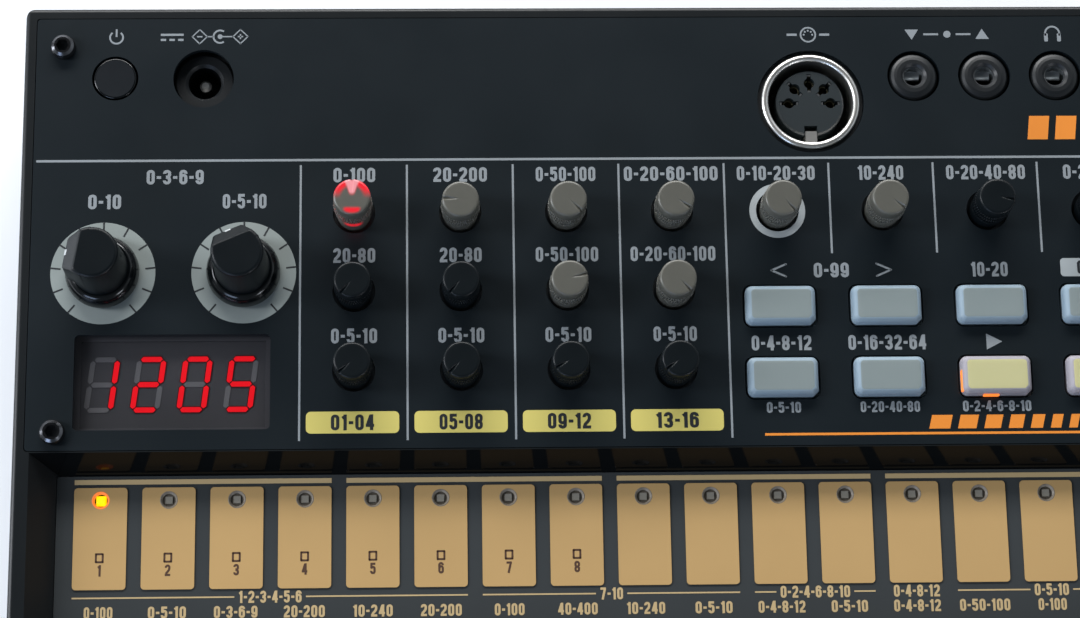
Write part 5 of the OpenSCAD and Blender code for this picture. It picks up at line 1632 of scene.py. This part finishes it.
@dataclass
class SmallKnob:
    """A slim cap on a potentiometer's shaft: knurled foot, bevelled flat top, narrow pointer notch."""

    spot: Spot
    finish: Finish
    slot: str
    plate: float
    lift: float = 0.0
    radius: float = 3.0
    height: float = 8.3
    steps: int = 192
    teeth: int = 48
    knurl_low: float = 2.5
    knurl_high: float = 5.3
    knurl_depth: float = 0.24
    knurl_sunk: float = 0.3
    groove: float = 0.1
    notch_start: float = 0.14
    notch_half: float = 0.36
    notch_taper: float = 0.4
    notch_depth: float = 0.5
    neck: float = -3.15
    shaft: float = 1.5
    shaft_foot: float = -8.45

    # Insets and drops of the bevel round the top, and shares of the radius on the top
    SHOULDER = ((0.0, 0.34), (0.07, 0.16), (0.2, 0.04), (0.38, 0.0))
    TOP_SHARES = (0.8, 0.7, 0.6, 0.5, 0.4, 0.3, 0.2, 0.12)

    def tooth(self, angle: float) -> float:
        """How far the knurl stands out at an angle, from 0 to 1."""
        phase = (angle * self.teeth / (2 * math.pi)) % 1.0
        return 1 - abs(2 * phase - 1)

    def notch(self, x: float, y: float) -> float:
        """How deep the pointer notch is at a place on the top. It widens and deepens along +Y.

        Args:
            x: the place to the right of the axis.
            y: the place to the rear of it.

        Returns:
            The depth.
        """
        share = (y / self.radius - self.notch_start) / (1 - self.notch_start)
        if share <= 0:
            return 0.0
        half = self.notch_half * (self.notch_taper + (1 - self.notch_taper) * share)
        return self.notch_depth * share * max(0.0, 1 - abs(x) / half)

    def ring(self, radius: float, z: float, knurl: float = 0.0, cut: float = 0.0, shift: float = 0.0) -> list[Point]:
        """One ring of points.

        Args:
            radius: its plain radius.
            z: its height.
            knurl: the share of the knurl's depth that it carries.
            cut: the share of the notch that it carries.
            shift: how far the knurl is turned, in teeth.

        Returns:
            The points.
        """
        points = []
        turn = 2 * math.pi * shift / self.teeth
        for i in range(self.steps):
            angle = 2 * math.pi * i / self.steps
            r = radius + knurl * self.knurl_depth * (self.tooth(angle + turn) - self.knurl_sunk)
            x, y = r * math.cos(angle), r * math.sin(angle)
            points.append((x, y, z - cut * self.notch(x, y)))
        return points

    def build(self) -> None:
        """Makes the cap with its shaft."""
        neck, top, r = self.neck + self.lift, self.height + self.lift, self.radius
        low, high = self.knurl_low + self.lift, self.knurl_high + self.lift
        middle = (low + high) / 2
        rings = [
            self.ring(self.shaft, self.shaft_foot),
            self.ring(self.shaft, neck),
            self.ring(r - 0.3, neck),
            self.ring(r - 0.1, neck + 2.15),
            self.ring(r - 0.02, low - 1.0),
            self.ring(r, low - 0.15),
        ]
        for start, end, shift in ((low, middle, 0.0), (middle, high, 0.5)):
            rings.append(self.ring(r - self.groove, start))
            rings += [self.ring(r, z, 1.0, shift=shift) for z in (start + 0.2, end - 0.2)]
        rings += [self.ring(r - self.groove, high), self.ring(r, high + 0.15), self.ring(r, top - 1.4)]
        rings += [self.ring(r - inset, top - drop, cut=1.0) for inset, drop in self.SHOULDER]
        rings += [self.ring(r * share, top, cut=1.0) for share in self.TOP_SHARES]
        draft = Draft()
        draft.loft(rings)
        draft.turn(self.spot.angle)
        node, at = self.spot.node, (self.spot.x, self.spot.y, self.plate)
        draft.build(f"{node}_cap", [self.finish], node, self.slot, [node], at, sharp=38)


@dataclass
class LargeKnob:
    """A stutter knob: polished dished skirt, round tapered grip, and a nose under a slanted facet."""

    spot: Spot
    plate: float
    skirt: float = 6.05
    skirt_foot: float = 0.5
    skirt_rim: float = 0.8
    skirt_top: float = 3.7
    grip_foot: float = 4.5
    grip_top: float = 4.15
    height: float = 14.0
    crown: float = 0.55
    nose_start: float = 1.07
    nose_low: float = 2.5
    nose_foot: float = 5.3
    nose_mid: float = 4.8
    nose_half: float = 2.4
    facet_in: float = 2.45
    facet_height: float = 3.6
    flank_turn: float = 15.0
    end_share: float = 0.25
    soft: float = 26.0
    steps: int = 180
    shaft: float = 2.0
    shaft_foot: float = -8.6

    def end(self, z: float) -> float:
        """How far the nose, or the facet over it, stands from the axis.

        Args:
            z: the height above the plate.

        Returns:
            The distance.
        """
        ramp = self.height - self.facet_height
        if z > ramp:
            return self.nose_mid + (self.facet_in - self.nose_mid) * (z - ramp) / self.facet_height
        return self.nose_foot + (self.nose_mid - self.nose_foot) * max(z - self.nose_low, 0.0) / (ramp - self.nose_low)

    def outline(self, z: float, inset: float = 0.0) -> list[Point]:
        """The grip's outline at a height, its nose along +Y.

        Args:
            z: the height above the plate.
            inset: how far inside the full outline its round part runs.

        Returns:
            The points, counter-clockwise.
        """
        share = min(max((z - self.skirt_top) / (self.height - self.skirt_top), 0.0), 1.0)
        round_part = self.grip_foot + (self.grip_top - self.grip_foot) * share - inset
        side = self.grip_top * math.cos(math.radians(self.flank_turn)) - inset
        lean = (self.nose_foot - self.nose_start) / (side + inset - self.nose_half)
        end = self.end(z) - inset * self.end_share
        points = []
        for i in range(self.steps):
            angle = 2 * math.pi * (i + 0.5) / self.steps
            ahead, aside = math.sin(angle), abs(math.cos(angle))
            r = round_part
            if ahead > 0:
                # A soft maximum joins the nose's flanks to the round part, and a soft minimum cuts both at its end
                flank = (self.nose_start + side * lean) / max(ahead + aside * lean, 1e-6)
                nose = flank if ahead * flank > self.nose_start else 0.0
                r = (round_part**self.soft + nose**self.soft) ** (1 / self.soft)
                r = (r**-self.soft + (end / ahead) ** -self.soft) ** (-1 / self.soft)
            points.append((r * math.cos(angle), r * math.sin(angle), z))
        return points

    def build(self) -> None:
        """Makes the knob with its shaft and its pale index mark."""
        draft = Draft()
        join, dome = self.grip_foot + 0.02, self.skirt_top - self.skirt_rim
        foot = self.skirt_foot
        profile = [(self.shaft + 0.02, foot), (self.skirt - 0.2, foot), (self.skirt - 0.05, foot + 0.05)]
        profile += [(join + (self.skirt - join) * c, self.skirt_rim + dome * s) for c, s in bow(0, 86, 16)]
        profile.append((self.grip_foot - 0.4, self.skirt_top))
        draft.lathe(profile, 120)
        wall, bands = self.height - self.crown, 24
        levels = [self.skirt_top + (wall - self.skirt_top) * i / bands for i in range(bands + 1)]
        rings = [self.outline(z) for z in (2.2, 3.4, *levels)]
        rings += [self.outline(wall + self.crown * s, self.crown * (1 - c)) for c, s in bow(0, 90, 8)[1:]]
        rings += [[(x * share, y * share, z) for x, y, z in rings[-1]] for share in (0.97, 0.9)]
        draft.loft(rings, 1)
        draft.lathe([(self.shaft, self.shaft_foot), (self.shaft, 1.0)], 48, shades=1)
        self.mark(draft)
        draft.turn(self.spot.angle)
        node, at = self.spot.node, (self.spot.x, self.spot.y, self.plate)
        finishes = [SKIRT_BLACK, GRIP_BLACK, INDEX_PAINT]
        draft.build(f"{node}_cap", finishes, node, "knob_black", [node], at, sharp=36)

    def mark(self, draft: Draft, half: float = 0.48, deep: float = 0.3, proud: float = 0.05) -> None:
        """Adds the paint that fills the pointer, bent over the facet's lower edge.

        Args:
            draft: the knob that it goes on.
            half: half its width.
            deep: how far it reaches into the nose.
            proud: how far it stands out of the nose.
        """
        ramp = self.height - self.facet_height
        rings = []
        for z in (ramp - 1.05, ramp - 0.02, ramp + 0.5):
            end = self.end(z)
            rings.append([(x, y, z) for x, y in corners(-half, end - deep, half, end + proud)])
        draft.loft(rings, 2)


@dataclass
class KnobSet:
    """All knobs of the panel."""

    layout: Layout
    smoked: tuple[str, ...] = (
        "snare_snap_knob",
        "tom_high_knob",
        "tom_low_knob",
        "hat_closed_knob",
        "hat_open_knob",
        "sample_speed_knob",
        "tempo_knob",
    )
    lit: str = "kick_click_knob"

    def build(self) -> None:
        """Makes each knob with its finish."""
        for spot in self.layout.small:
            if spot.node == self.lit:
                finish, slot = LIT_CAP, "knob_smoke"
            elif spot.node in self.smoked:
                finish, slot = SMOKED_CAP, "knob_smoke"
            else:
                finish, slot = BLACK_CAP, "knob_black"
            top = Layout.box(spot.node)[1][2] - self.layout.top
            SmallKnob(spot, finish, slot, self.layout.top, lift=top - SmallKnob.height).build()
        for spot in self.layout.large:
            LargeKnob(spot, self.layout.top).build()


# ---------------------------------------------------------------- buttons


@dataclass
class RubberButton:
    """A silicone button: drafted sides, soft shoulder, one bevelled corner, a flange and a stem below."""

    spot: Spot
    plate: float
    side: Finish
    top: Finish
    slot: str
    width: float = 11.5
    depth: float = 6.5
    height: float = 1.9
    corner: float = 1.1
    corner_least: float = 0.35
    corner_share: float = 0.6
    shoulder: float = 0.9
    fall: float = 1.0
    taper: float = 0.12
    bevel: float = 0.9
    bevel_share: float = 0.45
    foot: float = -4.05
    flange: float = 1.2
    flange_height: float = 1.0
    stem: float = 1.4
    stem_foot: float = -5.0

    def ring(self, inset: float, z: float) -> list[Point]:
        """The button's outline at a height.

        Args:
            inset: how far it is drawn in all round.
            z: the height above the plate.

        Returns:
            The points, counter-clockwise.
        """
        radius = max(self.corner - inset * self.corner_share, self.corner_least)
        cut = self.bevel - inset * self.bevel_share
        shape = rounded_box(self.width - 2 * inset, self.depth - 2 * inset, radius, cut=cut)
        return [(x, y, z) for x, y in shape]

    def build(self) -> None:
        """Makes the button with its flange and its stem."""
        draft = Draft()
        rings = [self.ring(0.0, self.foot), self.ring(0.0, self.height - 1.5)]
        for c, s in bow(0, 90, 8):
            rings.append(self.ring(self.shoulder * (1 - c) + self.taper, self.height - self.fall * (1 - s)))
        rings.append(self.ring(self.shoulder + 0.5, self.height))
        shades = [0] * (len(rings) - 3) + [1, 1]
        draft.loft(rings, shades)
        flange = rounded_box(self.width + 2 * self.flange, self.depth + 2 * self.flange, self.corner)
        draft.prism(flange, self.foot, self.foot + self.flange_height)
        draft.lathe([(self.stem, self.stem_foot), (self.stem, self.foot + 0.05)], 32)
        node, at = self.spot.node, (self.spot.x, self.spot.y, self.plate)
        draft.build(f"{node}_rubber", [self.side, self.top], node, self.slot, [node], at, sharp=50)


@dataclass
class ButtonSet:
    """The eight rubber buttons. Two of them are cream, and one of these has its lamp on."""

    layout: Layout
    cream: tuple[str, ...] = ("play_button", "record_button")
    lit: str = "play_button"

    def build(self) -> None:
        """Makes each button."""
        for spot in self.layout.buttons:
            if spot.node in self.cream:
                # The cream buttons' sides carry a painted reflection of the dark panel
                looks = SILICONE_CREAM_SIDE_PAINTED_REFLECTION, SILICONE_CREAM, "button_cream"
            else:
                looks = SILICONE, SILICONE_TOP, "button_silicone"
            RubberButton(spot, self.layout.top, *looks).build()
        self.glow(next(s for s in self.layout.buttons if s.node == self.lit))

    def glow(self, spot: Spot, low: float = 0.25, high: float = 0.95) -> None:
        """Makes the slivers of painted glow that stand for the lamp light in the rubber at the button's left and front
        sides.

        Args:
            spot: the button's place.
            low: how high over the plate they start.
            high: how high over the plate they end.
        """
        draft = Draft()
        for x, y, width, depth in ((-5.62, -0.9, 0.34, 3.6), (-1.0, -3.32, 2.6, 0.34)):
            draft.prism([(x + u, y + v) for u, v in rounded_box(width, depth, 0.16, 4)], low, high)
        at = (spot.x, spot.y, self.layout.top)
        draft.build("play_lamp_glow", [ORANGE_GLOW], spot.node, "button_cream", at=at)


# ---------------------------------------------------------------- studio


@dataclass
class Studio:
    """Floor, daylight and camera.

    The camera's place is in millimetres and the lamps' in metres. A row of the sky holds the heights between which
    it turns to a colour, and a row of the lamps holds a name, a place, a size, watts and a colour.
    """

    eye: Point = (-27.14, -90.26, 434.54)
    look: Point = (0.02801, 0.22926, -0.97296)
    up: Point = (0.00638, 0.97328, 0.22952)
    lens: float = 84.22
    shift: Flat = (0.0252, 0.0033)
    sky: tuple[tuple[float, float, str], ...] = (
        (0.0, 0.0, "#3A4046"),
        (0.12, 0.3, "#D6DEE6"),
        (0.42, 0.8, "#1C2024"),
    )
    front_sky: str = "#6E757B"
    front_reach: Flat = (-0.7, 0.1)
    backdrop: str = "#F7FAFC"
    lamps: tuple[tuple[str, Point, Flat, float, str], ...] = (
        ("rear window", (-0.1, 1.1, 0.66), (1.4, 0.3), 21.0, "#FFFFFF"),
        ("left window", (-1.05, 0.1, 0.6), (0.3, 0.9), 10.6, "#F4F8FF"),
        ("front left window", (-0.55, -0.85, 0.4), (0.45, 0.35), 3.0, "#C4DAFF"),
        ("front right window", (0.66, -0.82, 0.36), (0.3, 0.2), 1.9, "#F0F5FF"),
    )
    aim: Point = (0.0, 0.0, 0.03)
    floor_half: float = 3.0

    def camera(self) -> None:
        """Sets the camera at the viewing angle."""
        data = bpy.data.cameras.new("camera")
        data.sensor_width = 36.0
        data.lens = self.lens
        data.shift_x, data.shift_y = self.shift
        data.clip_start, data.clip_end = 0.01, 20.0
        camera = bpy.data.objects.new("camera", data)
        back = -Vector(self.look).normalized()
        right = Vector(self.up).cross(back).normalized()
        up = back.cross(right)
        turn = Matrix((right, up, back)).transposed()
        camera.matrix_world = Matrix.Translation(Vector(self.eye) * MM) @ turn.to_4x4()
        bpy.context.scene.collection.objects.link(camera)
        bpy.context.scene.camera = camera

    def lamp(self, name: str, at: Point, size: Flat, watts: float, colour: str) -> None:
        """A soft rectangular lamp that faces the machine.

        Args:
            name: the lamp's name.
            at: its place in metres.
            size: its width and height in metres.
            watts: its power.
            colour: its colour.
        """
        data = bpy.data.lights.new(name, "AREA")
        data.shape = "RECTANGLE"
        data.size, data.size_y = size
        data.energy = watts
        data.color = linear(colour)[:3]
        lamp = bpy.data.objects.new(name, data)
        lamp.location = at
        lamp.rotation_euler = (Vector(self.aim) - Vector(at)).to_track_quat("-Z", "Y").to_euler()
        bpy.context.scene.collection.objects.link(lamp)

    def floor(self) -> None:
        """A plain pale floor."""
        mesh = bpy.data.meshes.new("floor")
        half = self.floor_half
        mesh.from_pydata([(x, y, 0) for x, y in corners(-half, -half, half, half)], [], [(0, 1, 2, 3)])
        mesh.materials.append(FLOOR_PAPER.material())
        floor = bpy.data.objects.new("floor", mesh)
        bpy.context.scene.collection.objects.link(floor)

    def world(self) -> None:
        """Dim daylight: dark at the horizon and overhead, and pale between, so that the panel stays dark."""
        world = bpy.data.worlds.new("daylight")
        bpy.context.scene.world = world
        world.use_nodes = True
        tree = world.node_tree
        tree.nodes.clear()
        place = add_node(tree, "ShaderNodeTexCoord").outputs["Generated"]
        height = add_node(tree, "ShaderNodeSeparateXYZ", {"Vector": place}).outputs["Z"]
        sky: bpy.types.NodeSocket | tuple[float, ...] = linear(self.sky[0][2])
        for start, end, colour in self.sky[1:]:
            reach = {"Value": height, "From Min": start, "From Max": end}
            share = add_node(tree, "ShaderNodeMapRange", reach, interpolation_type="SMOOTHSTEP").outputs["Result"]
            mixed = {"Factor": share, MIX_A: sky, MIX_B: linear(colour)}
            sky = add_node(tree, "ShaderNodeMix", mixed, data_type="RGBA").outputs[MIX_OUT]
        depth = add_node(tree, "ShaderNodeSeparateXYZ", {"Vector": place}).outputs["Y"]
        start, end = self.front_reach
        behind = add_node(tree, "ShaderNodeMapRange", {"Value": depth, "From Min": start, "From Max": end})
        front = {"Factor": behind.outputs["Result"], MIX_A: linear(self.front_sky), MIX_B: sky}
        sky = add_node(tree, "ShaderNodeMix", front, data_type="RGBA").outputs[MIX_OUT]
        ray = add_node(tree, "ShaderNodeLightPath").outputs["Is Camera Ray"]
        shown = {"Factor": ray, MIX_A: sky, MIX_B: linear(self.backdrop)}
        seen = add_node(tree, "ShaderNodeMix", shown, data_type="RGBA")
        light = add_node(tree, "ShaderNodeBackground", {"Color": seen.outputs[MIX_OUT], "Strength": 1.0})
        add_node(tree, "ShaderNodeOutputWorld", {"Surface": light.outputs["Background"]})

    def build(self) -> None:
        """Sets everything up."""
        bpy.context.scene.view_settings.view_transform = "Standard"
        self.floor()
        self.world()
        for row in self.lamps:
            self.lamp(*row)
        self.camera()


def main() -> None:
    """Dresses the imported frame."""
    logging.basicConfig(level=logging.INFO, format="%(name)s: %(message)s")
    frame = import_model()
    layout = Layout.read(frame)
    figures = Figures()
    CaseDress(frame["nodes"], layout).build()
    PanelPrint(layout, figures).build()
    StripPrint(layout, figures).build()
    StepWells(layout).build()
    DisplayDigits(layout).build()
    SocketParts(layout.top).build()
    KnobSet(layout).build()
    ButtonSet(layout).build()
    PowerButton(layout.top).build()
    Studio().build()


if __name__ == "__main__":
    main()
